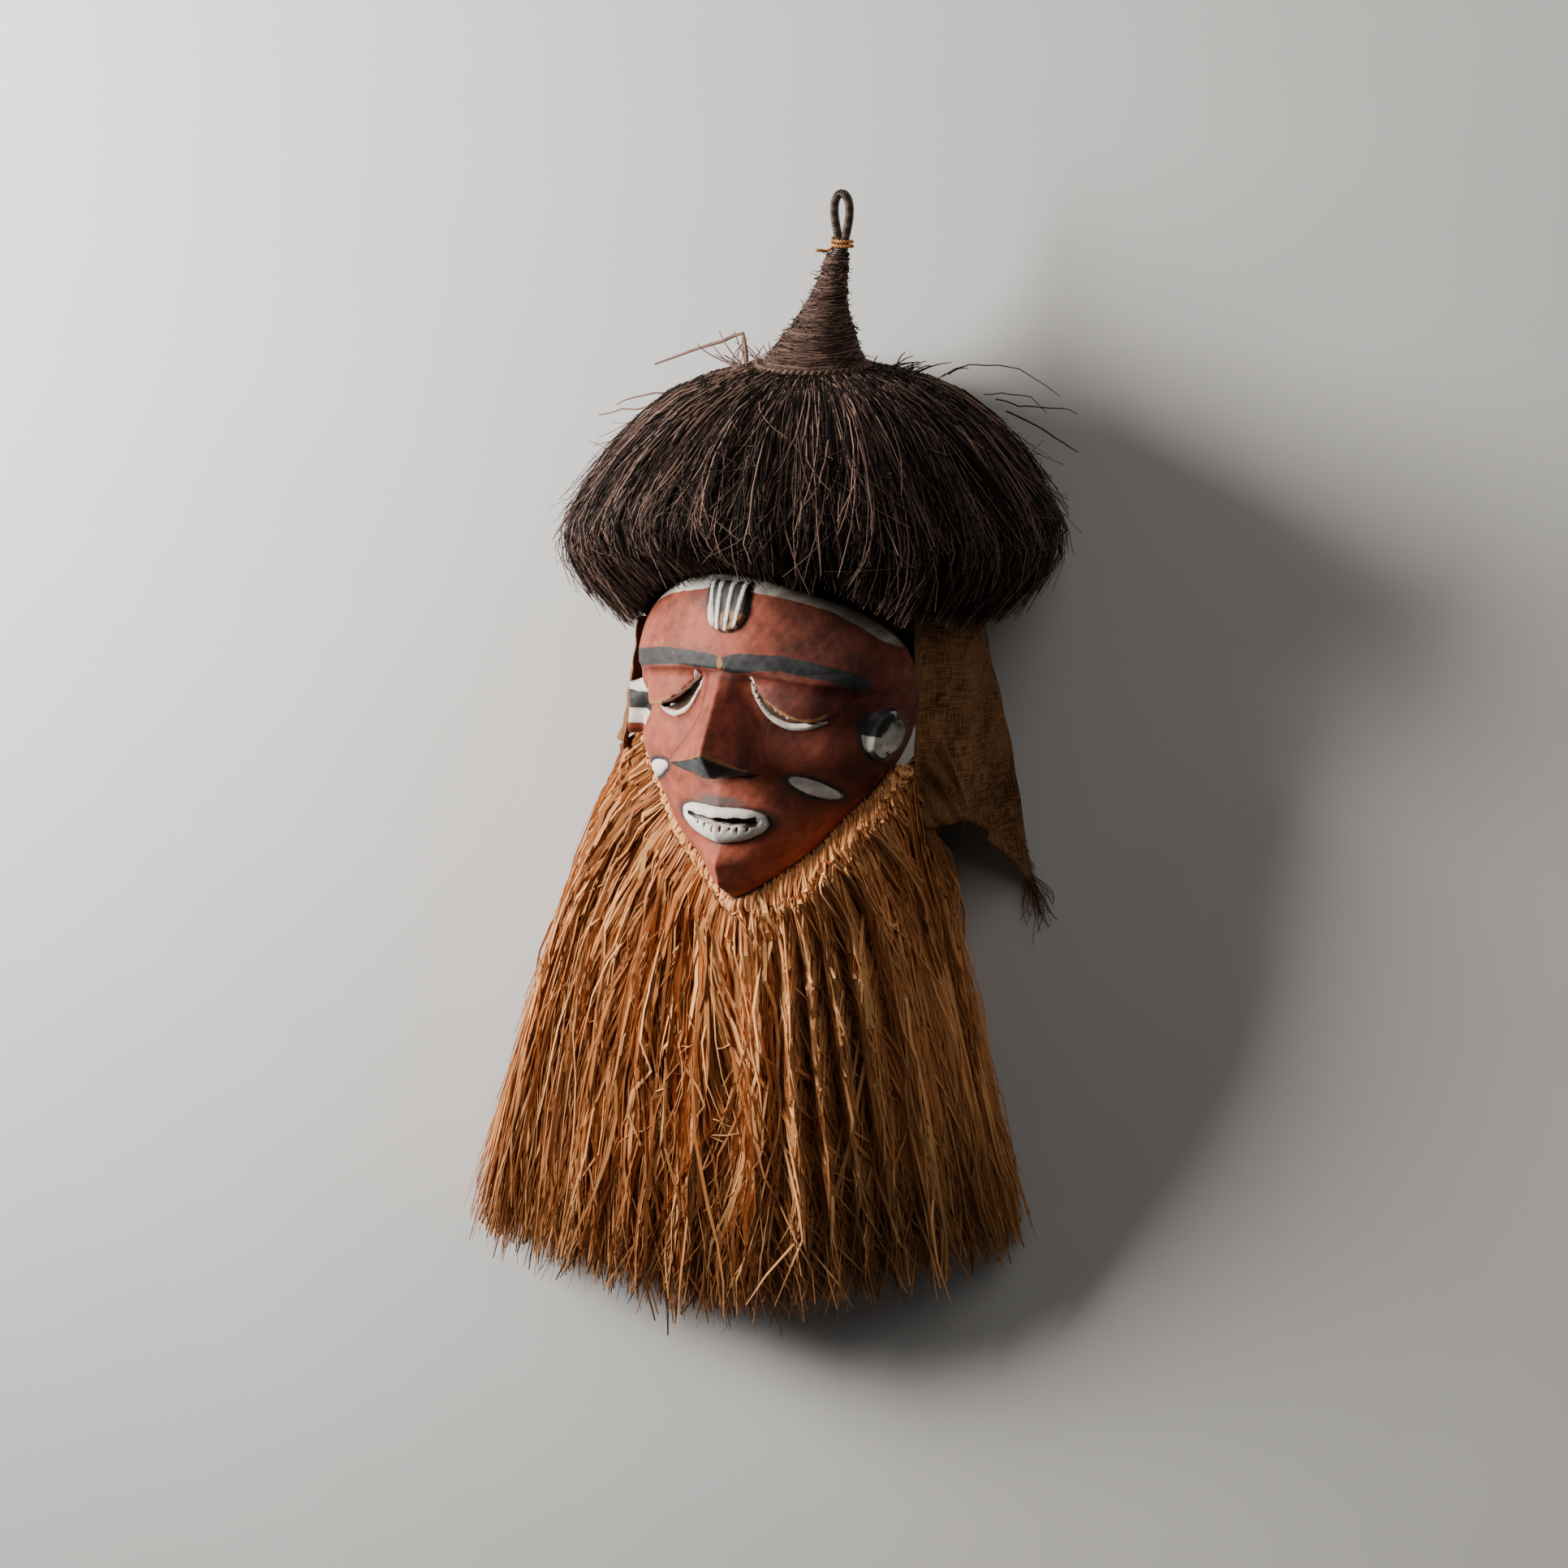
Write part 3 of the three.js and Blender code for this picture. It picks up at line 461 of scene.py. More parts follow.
class Shade:
    """A socket of a material that takes part in sums: each operator adds its Math node."""

    def __init__(self, socket):
        self.socket = socket

    def make(self, kind, settings=None, values=None, out=0):
        """Any other node: its settings, ramp stops among them, then values or links of its sockets."""
        tree = self.socket.id_data
        node = tree.nodes.new(kind)
        for key, value in (settings or {}).items():
            if key == "stops":
                ramp = node.color_ramp
                while len(ramp.elements) < len(value):
                    ramp.elements.new(0.5)
                for element, (position, colour) in zip(ramp.elements, value):
                    element.position = position
                    element.color = (*colour, 1.0)
            else:
                setattr(node, key, value)
        for key, value in (values or {}).items():
            if isinstance(value, Shade):
                tree.links.new(value.socket, node.inputs[key])
            else:
                node.inputs[key].default_value = value
        return Shade(node.outputs[out])

    def math(self, operation, *others, clamped=False):
        values = dict(enumerate((self, *others)))
        return self.make("ShaderNodeMath", {"operation": operation, "use_clamp": clamped}, values)

    def __add__(self, other):
        return self.math("ADD", other)

    __radd__ = __add__

    def __sub__(self, other):
        return self.math("SUBTRACT", other)

    def __rsub__(self, other):
        return self.make("ShaderNodeMath", {"operation": "SUBTRACT"}, {0: other, 1: self})

    def __mul__(self, other):
        return self.math("MULTIPLY", other)

    def clamped(self):
        return self.math("ADD", 0.0, clamped=True)

    def step(self, low, high):
        """0 below low, 1 above high and smooth between."""
        settings = {"interpolation_type": "SMOOTHSTEP"}
        return self.make("ShaderNodeMapRange", settings, {"Value": self, "From Min": low, "From Max": high})

    def field(self, name):
        return self.make("ShaderNodeAttribute", {"attribute_type": "GEOMETRY", "attribute_name": name},
                         out="Fac")

    def noise(self, scale, detail=3.0, roughness=0.55, stretch=None):
        """Noise on these coordinates, which stretch may squash along each axis."""
        where = self
        if stretch:
            where = self.make("ShaderNodeMapping", {}, {"Vector": self, "Scale": stretch})
        values = {"Vector": where, "Scale": scale, "Detail": detail, "Roughness": roughness}
        return self.make("ShaderNodeTexNoise", {}, values)

    def colours(self, *stops):
        return self.make("ShaderNodeValToRGB", {"stops": stops}, {"Fac": self})

    def blend(self, below, above, mode="MIX"):
        """Two colours mixed by this mask."""
        settings = {"data_type": "RGBA", "blend_type": mode, "clamp_factor": True}
        colour = [(*c, 1.0) if isinstance(c, tuple) else c for c in (below, above)]
        return self.make("ShaderNodeMix", settings, {0: self, 6: colour[0], 7: colour[1]}, out=2)

    def bump(self, strength, distance, under=None):
        values = {"Height": self, "Strength": strength, "Distance": distance}
        if under is not None:
            values["Normal"] = under
        return self.make("ShaderNodeBump", {}, values)


def start_look(name):
    """A new material: its object coordinates and its shader."""
    material = bpy.data.materials.new(name)
    material.use_nodes = True
    tree = material.node_tree
    tree.nodes.clear()
    shader = tree.nodes.new("ShaderNodeBsdfPrincipled")
    output = tree.nodes.new("ShaderNodeOutputMaterial")
    tree.links.new(shader.outputs["BSDF"], output.inputs["Surface"])
    where = Shade(tree.nodes.new("ShaderNodeTexCoord").outputs["Object"])
    return material, shader, where


def end_look(shader, colour, roughness, normal=None, **fixed):
    tree = shader.id_data
    for key, value in (("Base Color", colour), ("Roughness", roughness), ("Normal", normal)):
        if isinstance(value, Shade):
            tree.links.new(value.socket, shader.inputs[key])
        elif value is not None:
            shader.inputs[key].default_value = value
    for key, value in fixed.items():
        shader.inputs[key.replace("_", " ")].default_value = value


def times(colour, factor):
    """A colour made darker or lighter."""
    return tuple(c * factor for c in colour)


def three_tones(settings):
    """The tones of a fibre in shade, in the middle and in light."""
    return tuple(settings.dark), tuple(settings.mid), tuple(settings.light)


def painted_wood(paint):
    """Worn matt earth paint on carved wood: red ground, white, black, grey painted shade, and bare wood
    behind.
    """
    material, shader, where = start_look("painted carved wood")
    red, white, black = tuple(paint.red), tuple(paint.white), tuple(paint.black)
    ochre, wood = tuple(paint.ochre), tuple(paint.wood)
    broad = where.noise(22.0, 4.0)
    mottle = where.noise(90.0, 5.0, 0.65)
    grain = where.noise(260.0, 3.0, 0.6, stretch=(1.0, 0.16, 1.0))
    grit = where.noise(900.0, 2.0, 0.7)
    ragged = (mottle - 0.5) * 2.8 + (grit - 0.5) * 1.4
    deep = times(red, 0.42)
    warm = (red[0] * 1.18, red[1] * 1.5, red[2] * 1.45)
    strokes = where.noise(150.0, 4.0, 0.6, stretch=(0.22, 1.0, 1.0))
    ground = (mottle * 0.4 + broad * 0.35 + strokes * 0.25).colours((0.36, deep), (0.5, red), (0.64, warm))
    stains = (where.noise(38.0, 5.0, 0.7) - 0.5) * 1.6
    # Darker red in the grooves and under the edges, and painted shade over the right side of the face; noise
    # adds stains.
    ground = (where.field("dirt") * 0.8 + stains).clamped().blend(ground, times(red, 0.2))
    ground = (grain.step(0.52, 0.72) * 0.28).blend(ground, deep)
    worn = (where.field("wear") + (mottle - 0.5) * 1.3).step(0.45, 0.75)
    # Painted shade: the red turns grey where the grey field is high.
    grey_shade = (where.field("grey") + (mottle - 0.5) * 0.5).step(0.3, 0.95)
    ground = (grey_shade * 0.9).blend(ground, (0.07, 0.062, 0.06))

    black_mask = ((where.field("black") + ragged * 0.8) * 1.1 + 0.5).clamped()
    black_tone = mottle.colours((0.35, times(black, 0.5)), (0.7, times(black, 1.9)))
    chips = where.noise(120.0, 4.0, 0.75).step(0.66, 0.72)
    black_tone = (chips * where.field("chip")).clamped().blend(black_tone, ochre)
    # Painted sheen: the black on the left facet of the nose's base is lightened to grey.
    slate = (where.field("slate") * (mottle * 1.6 - 0.1)).clamped()
    black_tone = slate.blend(black_tone, (0.1, 0.105, 0.11))
    painted = black_mask.blend(ground, black_tone)

    white_mask = ((where.field("white") + ragged * 0.45) * 1.6 + 0.5).clamped()
    bright = tuple(min(1, c * 1.12) for c in white)
    white_tone = mottle * 0.55 + grit * 0.2 + grain * 0.25
    white_tone = white_tone.colours((0.3, times(white, 0.42)), (0.5, white), (0.75, bright))
    flecks = where.noise(420.0, 3.0, 0.7).step(0.6, 0.7)
    white_tone = (flecks * 0.55).blend(white_tone, (0.16, 0.12, 0.095))
    # Grime on the white paint, with painted shade on its right side.
    soiled_and_shaded = (where.field("soil") + (mottle - 0.5) * 0.9 + (broad - 0.5) * 0.5).step(0.1, 0.9)
    white_tone = (soiled_and_shaded * 0.9).blend(white_tone, (0.15, 0.115, 0.09))
    painted = white_mask.blend(painted, white_tone)

    scratches = where.noise(75.0, 5.0, 0.7, stretch=(1.0, 4.5, 1.0)).step(0.63, 0.68)
    painted = (scratches * 0.4).blend(painted, times(red, 0.3))
    painted = (worn * 0.85).blend(painted, ochre)
    bare_grain = where.noise(120.0, 6.0, 0.6, stretch=(1.0, 0.1, 1.0))
    bare_tone = bare_grain.colours((0.3, times(wood, 0.45)), (0.65, wood))
    colour = where.field("bare").step(0.4, 0.6).blend(painted, bare_tone)
    rough = 0.66 + (mottle - 0.5) * 0.25 - black_mask * 0.08
    height = mottle * 0.4 + grain * 0.3 + strokes * 0.3 + grit * 0.25
    height = height + white_mask * 0.4 - flecks * white_mask * 0.3
    height = height - where.noise(320.0, 1.0, 0.5).step(0.72, 0.78) * 0.6
    end_look(shader, colour, rough, height.bump(0.6, 0.0007), Specular_IOR_Level=0.32)
    return material


def fibre(name, dark, mid, light, rough=0.7, gloss=0.35, tip=None, streak=700.0):
    """Plant fibre that varies from strand to strand, along each strand and across its streaks."""
    material, shader, where = start_look(name)
    tone = where.field("tone")
    along = where.field("along")
    streaks = where.noise(streak, 3.0, 0.6)
    patch = where.noise(16.0, 2.0)
    value = tone * 0.66 + streaks * 0.2 + patch * 0.14
    colour = value.colours((0.14, dark), (0.42, mid), (0.76, light))
    # Painted shade: the deep field darkens strands that lie deep in the mass.
    colour = (where.field("deep") * 0.92).clamped().blend(colour, times(dark, 0.35))
    if tip is not None:
        colour = (along.step(0.75, 1.0) * 0.6 * tone).blend(colour, tip)
    end_look(shader, colour, rough + (streaks - 0.5) * 0.2, streaks.bump(0.4, 0.0003),
             Specular_IOR_Level=gloss)
    return material


def wound_fibre(name, dark, mid, light, pitch):
    """The matted surface under the fibres: fine ridges of their own direction in broken tones."""
    material, shader, where = start_look(name)
    ridges = where.field("ridge")
    fine = where.noise(pitch, 4.0, 0.65)
    coarse = where.noise(40.0, 3.0)
    tone = ridges * 0.5 + fine * 0.35 + coarse * 0.15
    colour = tone.colours((0.25, dark), (0.55, mid), (0.8, light))
    height = ridges * 0.6 + fine * 0.4
    end_look(shader, colour, 0.85, height.bump(0.8, 0.0015), Specular_IOR_Level=0.2)
    return material


def woven(cloth):
    """Plain weave of raffia threads on the cloth's own UV map, in metres of flat cloth."""
    material, shader, where = start_look("woven raffia cloth")
    flat = where.make("ShaderNodeUVMap", {"uv_map": "UVMap"})
    parts = flat.make("ShaderNodeSeparateXYZ", {}, {"Vector": flat})
    wander = where.noise(30.0, 2.0) * 0.0006
    pitch = 2 * math.pi / cloth.thread
    across = Shade(parts.socket.node.outputs["X"]) + wander
    length = Shade(parts.socket.node.outputs["Y"]) + wander
    warp = (across * pitch).math("SINE")
    weft = (length * pitch).math("SINE")
    over = (across * (pitch * 0.5)).math("SINE") * (length * (pitch * 0.5)).math("SINE")
    on_top = warp.math("ABSOLUTE") * over.step(-0.1, 0.1)
    weave = on_top + weft.math("ABSOLUTE") * (1.0 - over.step(-0.1, 0.1))
    dark, light = tuple(cloth.dark), tuple(cloth.light)
    between = tuple(mix(a, b, 0.35) for a, b in zip(dark, light))
    patch = where.noise(28.0, 4.0)
    threads = flat.noise(900.0, 3.0, 0.6, stretch=(1.0, 0.08, 1.0))
    crossing = flat.noise(700.0, 3.0, 0.6, stretch=(0.08, 1.0, 1.0))
    tone = (patch - 0.5) * 1.3 + (threads - 0.5) * 1.7 + (crossing - 0.5) * 1.7 + weave * 0.7 + 0.24
    colour = tone.colours((0.25, dark), (0.6, between), (0.95, light))
    # Where the edge field is high the threads are lighter: fraying, and painted light on the cloth's left
    # strip and the turned corner.
    edge = where.field("edge")
    colour = ((edge * 0.7) * threads.step(0.35, 0.6)).clamped().blend(colour, light)
    height = weave * 0.6 + threads * 0.4 + crossing * 0.4
    end_look(shader, colour, 0.9, height.bump(1.0, 0.001), Specular_IOR_Level=0.1)
    return material


def plain_floor(stage):
    material, shader, where = start_look("pale floor")
    tone = where.noise(6.0, 2.0)
    base = tuple(stage.floor)
    colour = tone.colours((0.3, times(base, 0.97)), (0.7, base))
    end_look(shader, colour, 0.85, where.noise(300.0, 2.0).bump(0.05, 0.0005), Specular_IOR_Level=0.2)
    return material


# The face


def outline(direction):
    side = np.degrees(np.arctan2(np.sin(direction), np.abs(np.cos(direction))))
    return through(FACE_OUTLINE, side)


def rim_depth(direction):
    bend = 1.6 + 0.6 * np.sin(direction)
    return mix(RIM_DEPTH[0], RIM_DEPTH[1], np.abs(np.cos(direction)) ** bend)


def face_form(share, direction):
    tilt = share * np.pi / 2
    reach = outline(direction) * np.sin(tilt)
    return np.stack([
        reach * np.cos(direction),
        FACE_CENTRE_Y + reach * np.sin(direction),
        -rim_depth(direction) * (1 - np.cos(tilt)),
    ], -1)


def full_jaw(points):
    """The jaw is fuller on its left side: plain mask-frame points moved out to where the carving has them."""
    x, y = points[..., 0], points[..., 1]
    swell = 10 * smooth(-x, 0, 75) * smooth(-y, 40, 82) * (1 - smooth(-y, 140, 172))
    return np.stack([x - swell, y, points[..., 2]], -1)


def plain_jaw(points):
    """The way back from full_jaw."""
    plain = points.copy()
    for _ in range(5):
        plain[..., 0] += points[..., 0] - full_jaw(plain)[..., 0]
    return plain


def face_normal(share, direction):
    step = 0.004
    at = clamp(share, 5 * step, 1 - step)
    along = face_form(at + step, direction) - face_form(at - step, direction)
    round_ = face_form(at, direction + step) - face_form(at, direction - step)
    return unit(np.cross(along, round_))


def nose_ridge(y):
    """Where the nose's ridge runs: it leans to the right on its way down."""
    return 8 * clamp(-y / 60)


def nose_half(x, y):
    """Half of the nose's width, which is less on its right side."""
    return mix(9, np.where(x > nose_ridge(y), 27, 32), clamp(-y / 71) ** 1.2)


def nose_edge(x, y):
    """How far down the nose runs before its base falls away, and over what height it falls."""
    half, top = nose_half(x, y), nose_ridge(y)
    inside = np.minimum(np.where(x < top, (top - x) / (half + top), (x - top) / (half - top)), 1)
    return 58 + 15 * inside, mix(21, 4, inside), inside


def nose_rise(x, y):
    down = -y
    ridge = 43 * clamp((down - 5) / 53)
    half = nose_half(x, y)
    wing = 20 * smooth(down, 30, 72)
    across = np.abs(x) / half
    edge, fall, inside = nose_edge(x, y)
    past = clamp(1 - (across - 1) * half / 4)
    rise = mix(ridge, wing, inside) * np.where(across > 1, past, 1)
    bevel = 1 - 0.36 * clamp((down - edge) / fall)
    under = clamp(1 - (down - edge - fall) / 2.2)
    nostril = 5 * near(np.abs(x) - 13, 5, down - 81, 3.5)
    return rise * bevel * under - nostril


def lid_edge(x):
    side = np.abs(x)
    return np.where((side > 19) & (side < 88), through(LID_HEIGHT, side), 0), through(LID_EDGE, side)


def lid_rise(x, y):
    side = np.abs(x)
    height, edge = lid_edge(x)
    low = through(EYE_LOWER, side)
    t = clamp((-5 - y) / np.maximum(-5 - edge, 1e-6))
    upper = height * np.sin(t * np.pi / 2) ** 0.9
    rim = 2.4 * near(y - low - 2.2, 2.2)
    hollow = 3.2 * smooth(edge - y, 0.4, 2.5) * smooth(y - low, 3, 5.5)
    lower = (rim - hollow) * smooth(side, 19, 25) * (1 - smooth(side, 80, 87))
    eye = np.where(y < edge, lower, upper)
    return np.where((side < 19) | (side > 88) | (y > -5), 0, eye)


def socket_fall(x, y):
    side = np.abs(x)
    down = smooth(-2 - 12 * (x / 90) ** 2 - y, 0, 12) * (1 - smooth(-y, 44, 74))
    return 8 * down * smooth(side, 8, 22) * (1 - smooth(side, 84, 100))


def brow_rise(x, y):
    above = y + 2 + 12 * (x / 90) ** 2
    return 3 * smooth(above, -6, 0) * (1 - smooth(above, 6, 26))


def lip_spread(x, y):
    """1 on the edge of the lips, which are flat on top and pointed below."""
    up = y + 116
    side = np.abs(x) / 33
    top = (side ** 3.2 + np.maximum(up / 12, 0) ** 3.2) ** (1 / 3.2)
    foot = (side ** 1.75 + np.maximum(-up / 15.5, 0) ** 1.75) ** (1 / 1.75)
    return np.where(up > 0, top, foot)


def mouth_line(x):
    return -113.9 + 1.4 * smooth(-x, 4, 26) + 0.4 * np.sin(x * 0.5)


def mouth_opening(x):
    return MOUTH_OPEN + MOUTH_SLANT * clamp(x / 27, -1, 1)


def tooth_marks(x, y):
    """Short notches cut into the lower lip."""
    below = mouth_line(x) - mouth_opening(x) - y
    length = 4.5 + 1.5 * np.sin(x * 1.7)
    marks = np.max([near(x - tooth + 0.25 * below, 0.9) for tooth in TEETH], axis=0)
    return marks * smooth(below, 0, 0.8) * (1 - smooth(below, length - 1, length + 1))


def mouth_rise(x, y):
    up = y + 115.5
    muzzle = 7 * near(x, 45, up, 26)
    lips = 7 * np.sqrt(clamp(1 - lip_spread(x, y) ** 5))
    parting = 1.6 * near(y - mouth_line(x), 3) * (np.abs(x) < 30)
    return muzzle + lips - parting - 1.5 * tooth_marks(x, y)


def chin_rise(x, y):
    keel = clamp(1 - np.abs(x) / 30)
    return 15 * keel * smooth(-y, 130, 148) * (1 - smooth(-y, 160, 178))


def crest_away(x, y):
    off = x - 1
    return np.where(y > 40, np.abs(off), np.hypot(off, y - 40))


def crest_lines(x, y):
    """Distance from the nearest of the crest's raised white lines, less half of its width."""
    spread = 0.72 + 0.28 * (y - 25) / 30
    lines = [np.abs(x - at * spread) - half for at, half in
             ((-11.5, 1.2 + 1.2 * smooth(-y, -46, -34)), (-4.6, 1.3), (4.9, 1.3), (14.2, 1.2))]
    return np.min(lines, axis=0)


def crest_rise(x, y):
    top = 1 - smooth(y, 57, 60)
    ridge = 0.9 * (1 - smooth(crest_lines(x, y), -0.8, 1.0))
    pad = 1 - smooth(crest_away(x, y), 15.2, 17.5)
    return (4.3 + ridge) * pad * top


def cheek_spread(x, y, along=15.2, across=5.6):
    slope = math.radians(-34)
    dx, dy = np.abs(x) - 61, y + 89.5
    reach = dx * math.cos(slope) + dy * math.sin(slope)
    off = dy * math.cos(slope) - dx * math.sin(slope)
    return np.hypot(reach / along, (off + 1.2 * (reach / along) ** 2) / across)


def cheek_rise(x, y):
    return 2.2 * np.sqrt(clamp(1 - cheek_spread(x, y) ** 2))


def ear_parts(y, z):
    back, up = (z + 67) / 17, (y + 53) / 20
    return back, up, np.hypot(back, up), np.hypot(z + 56, y + 44)


def ear_rise(y, z):
    back, up, spread, off = ear_parts(y, z)
    inside = 1 - smooth(spread, 0.9, 1.02)
    shell = 4 * smooth(spread, 0.42, 0.6)
    opening = smooth(up - back, 0.95, 1.2)
    boss = 4.5 * np.sqrt(clamp(1 - (off / 9.3) ** 2))
    return np.maximum((2 + shell * (1 - opening)) * inside, boss + 1.5 * inside)


def tool_marks(x, y):
    """The shallow uneven cuts that the knife left."""
    return (0.16 * np.sin(x * 0.33 + 0.9 * np.sin(y * 0.21)) * np.sin(y * 0.27 + 1.3 * np.sin(x * 0.13))
            + 0.10 * np.sin(x * 0.71 + 2.0) * np.sin(y * 0.53 + 0.7 * np.sin(x * 0.4)))


def crack(x, y):
    """The short split beside the nose."""
    line = 35.9 + (y + 34) * 0.37 + 0.5 * np.sin(y * 0.6)
    return near(x - line, 0.5) * smooth(-y, 33, 37) * (1 - smooth(-y, 51, 56))


def carve(share, direction):
    base = face_form(share, direction)
    x, y, z = base[..., 0], base[..., 1], base[..., 2]
    carved = (nose_rise(x, y) + lid_rise(x, y) - socket_fall(x, y) + brow_rise(x, y)
              + mouth_rise(x, y) + chin_rise(x, y) + crest_rise(x, y) + cheek_rise(x, y)
              + tool_marks(x, y) - 0.9 * crack(x, y))
    point = base + face_normal(share, direction) * (ear_rise(y, z) * np.where(x < 0, 1.9, 1.0))[..., None]
    point[..., 2] += carved
    return full_jaw(point)


def disc_patch(u, v):
    right = (u + 1) / 2

    def ring(angle):
        return np.stack([np.cos(angle), np.sin(angle)], -1)

    top = ring(mix(np.pi - TOP_CORNER, TOP_CORNER, right))
    chin = ring(mix(-np.pi - CHIN_CORNER, CHIN_CORNER, right))
    side = ring(mix(TOP_CORNER, CHIN_CORNER, v))
    other = side * np.array([-1, 1])
    total = (top * (1 - v)[..., None] + chin * v[..., None]
             + other * (1 - right)[..., None] + side * right[..., None])
    for s in (0, 1):
        for t in (0, 1):
            angle = CHIN_CORNER if t else TOP_CORNER
            corner = np.array([(1 if s else -1) * math.cos(angle), math.sin(angle)])
            weight = (right if s else 1 - right) * (v if t else 1 - v)
            total -= corner * weight[..., None]
    return np.minimum(np.hypot(total[..., 0], total[..., 1]), 1), np.arctan2(total[..., 1], total[..., 0])


def lens_blade(name, half, middle, arch, rise):
    """A slit's cutter: a lens that follows an arch and opens by rise on either side of it."""
    steps = 24
    across = np.linspace(-1, 1, steps + 1)
    x = middle + half * across
    opening = rise(across) * np.sqrt(np.maximum(1 - across ** 4, 0)) + 0.3
    low, high, deep = arch(x) - opening, arch(x) + opening, np.full_like(x, 60)
    corners = ((low, -deep), (high, -deep), (high, deep), (low, deep))
    rings = np.stack([np.stack([x, y, z], -1) for y, z in corners], 1)
    faces = grid_faces(steps + 1, 4, wrap_columns=True).tolist()
    faces += [[3, 2, 1, 0], [4 * steps, 4 * steps + 1, 4 * steps + 2, 4 * steps + 3]]
    return new_mesh(name, from_mask(full_jaw(rings)), faces)


def hole_cutter(name, degrees, radius):
    """A short rod through the side of the face, at an angle up from level."""
    share, direction = np.array(0.94), np.array(math.radians(degrees))
    path = face_form(share, direction) + face_normal(share, direction) * np.array([[-20.0], [20.0]])
    return tubes_mesh(name, [from_mask(full_jaw(path))], radius, corners=10)


def cut(piece, cutters):
    for cutter in cutters:
        modifier = piece.modifiers.new(cutter.name, "BOOLEAN")
        modifier.operation = "DIFFERENCE"
        modifier.solver = "MANIFOLD"
        modifier.object = cutter
    applied(piece)
    for cutter in cutters:
        bpy.data.meshes.remove(cutter.data)


def carved_shell(columns, rows):
    """The face's two sides as grids: the carved front and the smooth hollow."""
    u, v = np.meshgrid(np.linspace(-1, 1, columns + 1), np.linspace(0, 1, rows + 1))
    share, direction = disc_patch(u, v)
    form = face_form(share, direction)
    behind = form - face_normal(share, direction) * FACE_WALL
    edge = form * np.array([0.93, 0.93, 1]) + np.array([0, -2.8, -1.5])
    return carve(share, direction), full_jaw(mix(behind, edge, smooth(share, 0.97, 1.0)[..., None]))


def shell_mesh(name, front, behind):
    """Both grids joined round their edge. The hollow is plain, so it takes every sixth line."""
    rows, columns = front.shape[:2]
    size, coarse = rows * columns, 6
    index = np.arange(size).reshape(rows, columns)
    faces = grid_faces(rows, columns)[:, ::-1].tolist()
    keep_r = list(range(0, rows - 1, coarse)) + [rows - 1]
    keep_c = list(range(0, columns - 1, coarse)) + [columns - 1]
    for r, r2 in zip(keep_r, keep_r[1:]):
        for c, c2 in zip(keep_c, keep_c[1:]):
            top = index[r, c:c2] if r == 0 else index[r, [c]]
            right = index[r:r2, c2] if c2 == columns - 1 else index[[r], c2]
            foot = index[r2, c2:c:-1] if r2 == rows - 1 else index[r2, [c2]]
            left = index[r2:r:-1, c] if c == 0 else index[[r2], c]
            faces.append((np.concatenate([top, right, foot, left]) + size).tolist())
    faces += edge_faces(rows, columns).tolist()
    points = np.concatenate([front.reshape(-1, 3), behind.reshape(-1, 3)])
    used = np.unique(np.concatenate(faces))
    place = np.full(len(points), -1)
    place[used] = np.arange(len(used))
    return new_mesh(name, from_mask(points[used]), [place[f].tolist() for f in faces])


class FacePlaces:
    """What the paints need to know of each point of the face, by its mask-frame place: where the edges of
    forms lie, distances in millimetres that are above 0 inside a form, and shares of a form's size."""

    def __init__(self, points):
        x, y, z = points[:, 0], points[:, 1], points[:, 2]
        side = np.abs(x)
        self.x, self.y, self.side = x, y, side
        direction = np.arctan2(y - FACE_CENTRE_Y, x)
        form = np.hypot(x, y - FACE_CENTRE_Y) / outline(direction)
        self.share = 2 / np.pi * np.arcsin(clamp(form))
        self.outer = outline(direction) * (1 - form)
        self.foot = through(BAND_FOOT, x)
        self.band = np.where(y > 0, (y - self.foot) * 0.85, FAR)
        self.lid, self.edge = lid_edge(x)
        self.low = through(EYE_LOWER, side)
        self.eye = (side > 20) & (side < 86)
        rim = np.minimum(y - self.low + 0.3, self.low + 5.2 - 1.2 * (x < 0) - y) - 3.2 * smooth(side, 76, 86)
        self.rim = np.where(self.eye & (y < self.edge - 1.5), rim, FAR)
        self.lips = lip_spread(x, y)
        opening = mouth_opening(x) + 0.2 - np.abs(y - mouth_line(x))
        self.opening = np.where((x > -26) & (x < 28), opening, FAR)
        self.notch = (tooth_marks(x, y) - 0.45) * 2.5
        self.cheek = cheek_spread(x, y)
        self.on_side = (side > 82) & (y < -18) & (y > -90)
        self.bowl = (1 - np.hypot((y + 52.5) / 17.5, (z + 64) / 14)) * 14
        _, _, self.ear, self.boss = ear_parts(y, z)
        self.pad = np.where(y < 58.5, 17.0 - crest_away(x, y), FAR)
        self.crest = np.minimum(self.pad, 0.2 - crest_lines(x, y))
        self.brow_top, self.brow_foot = through(BROW_TOP, x), through(BROW_FOOT, x)
        self.brow = np.where(side < 97, np.minimum(self.brow_top - y, y - self.brow_foot), FAR)
        self.nose = nose_half(x, y)
        self.nose_end, fall, _ = nose_edge(x, y)
        tip = np.minimum(-y - self.nose_end - 0.4, self.nose_end + fall + 4 + y)
        self.tip = np.where((side < self.nose + np.where(x > 0, 0.5, 2.5)) & (y > -90), tip, FAR)
        mark = (1 - cheek_spread(x, y, 18.8, 9.0)) * 3.6
        self.mark = np.where(self.cheek > 0.95, mark, FAR)


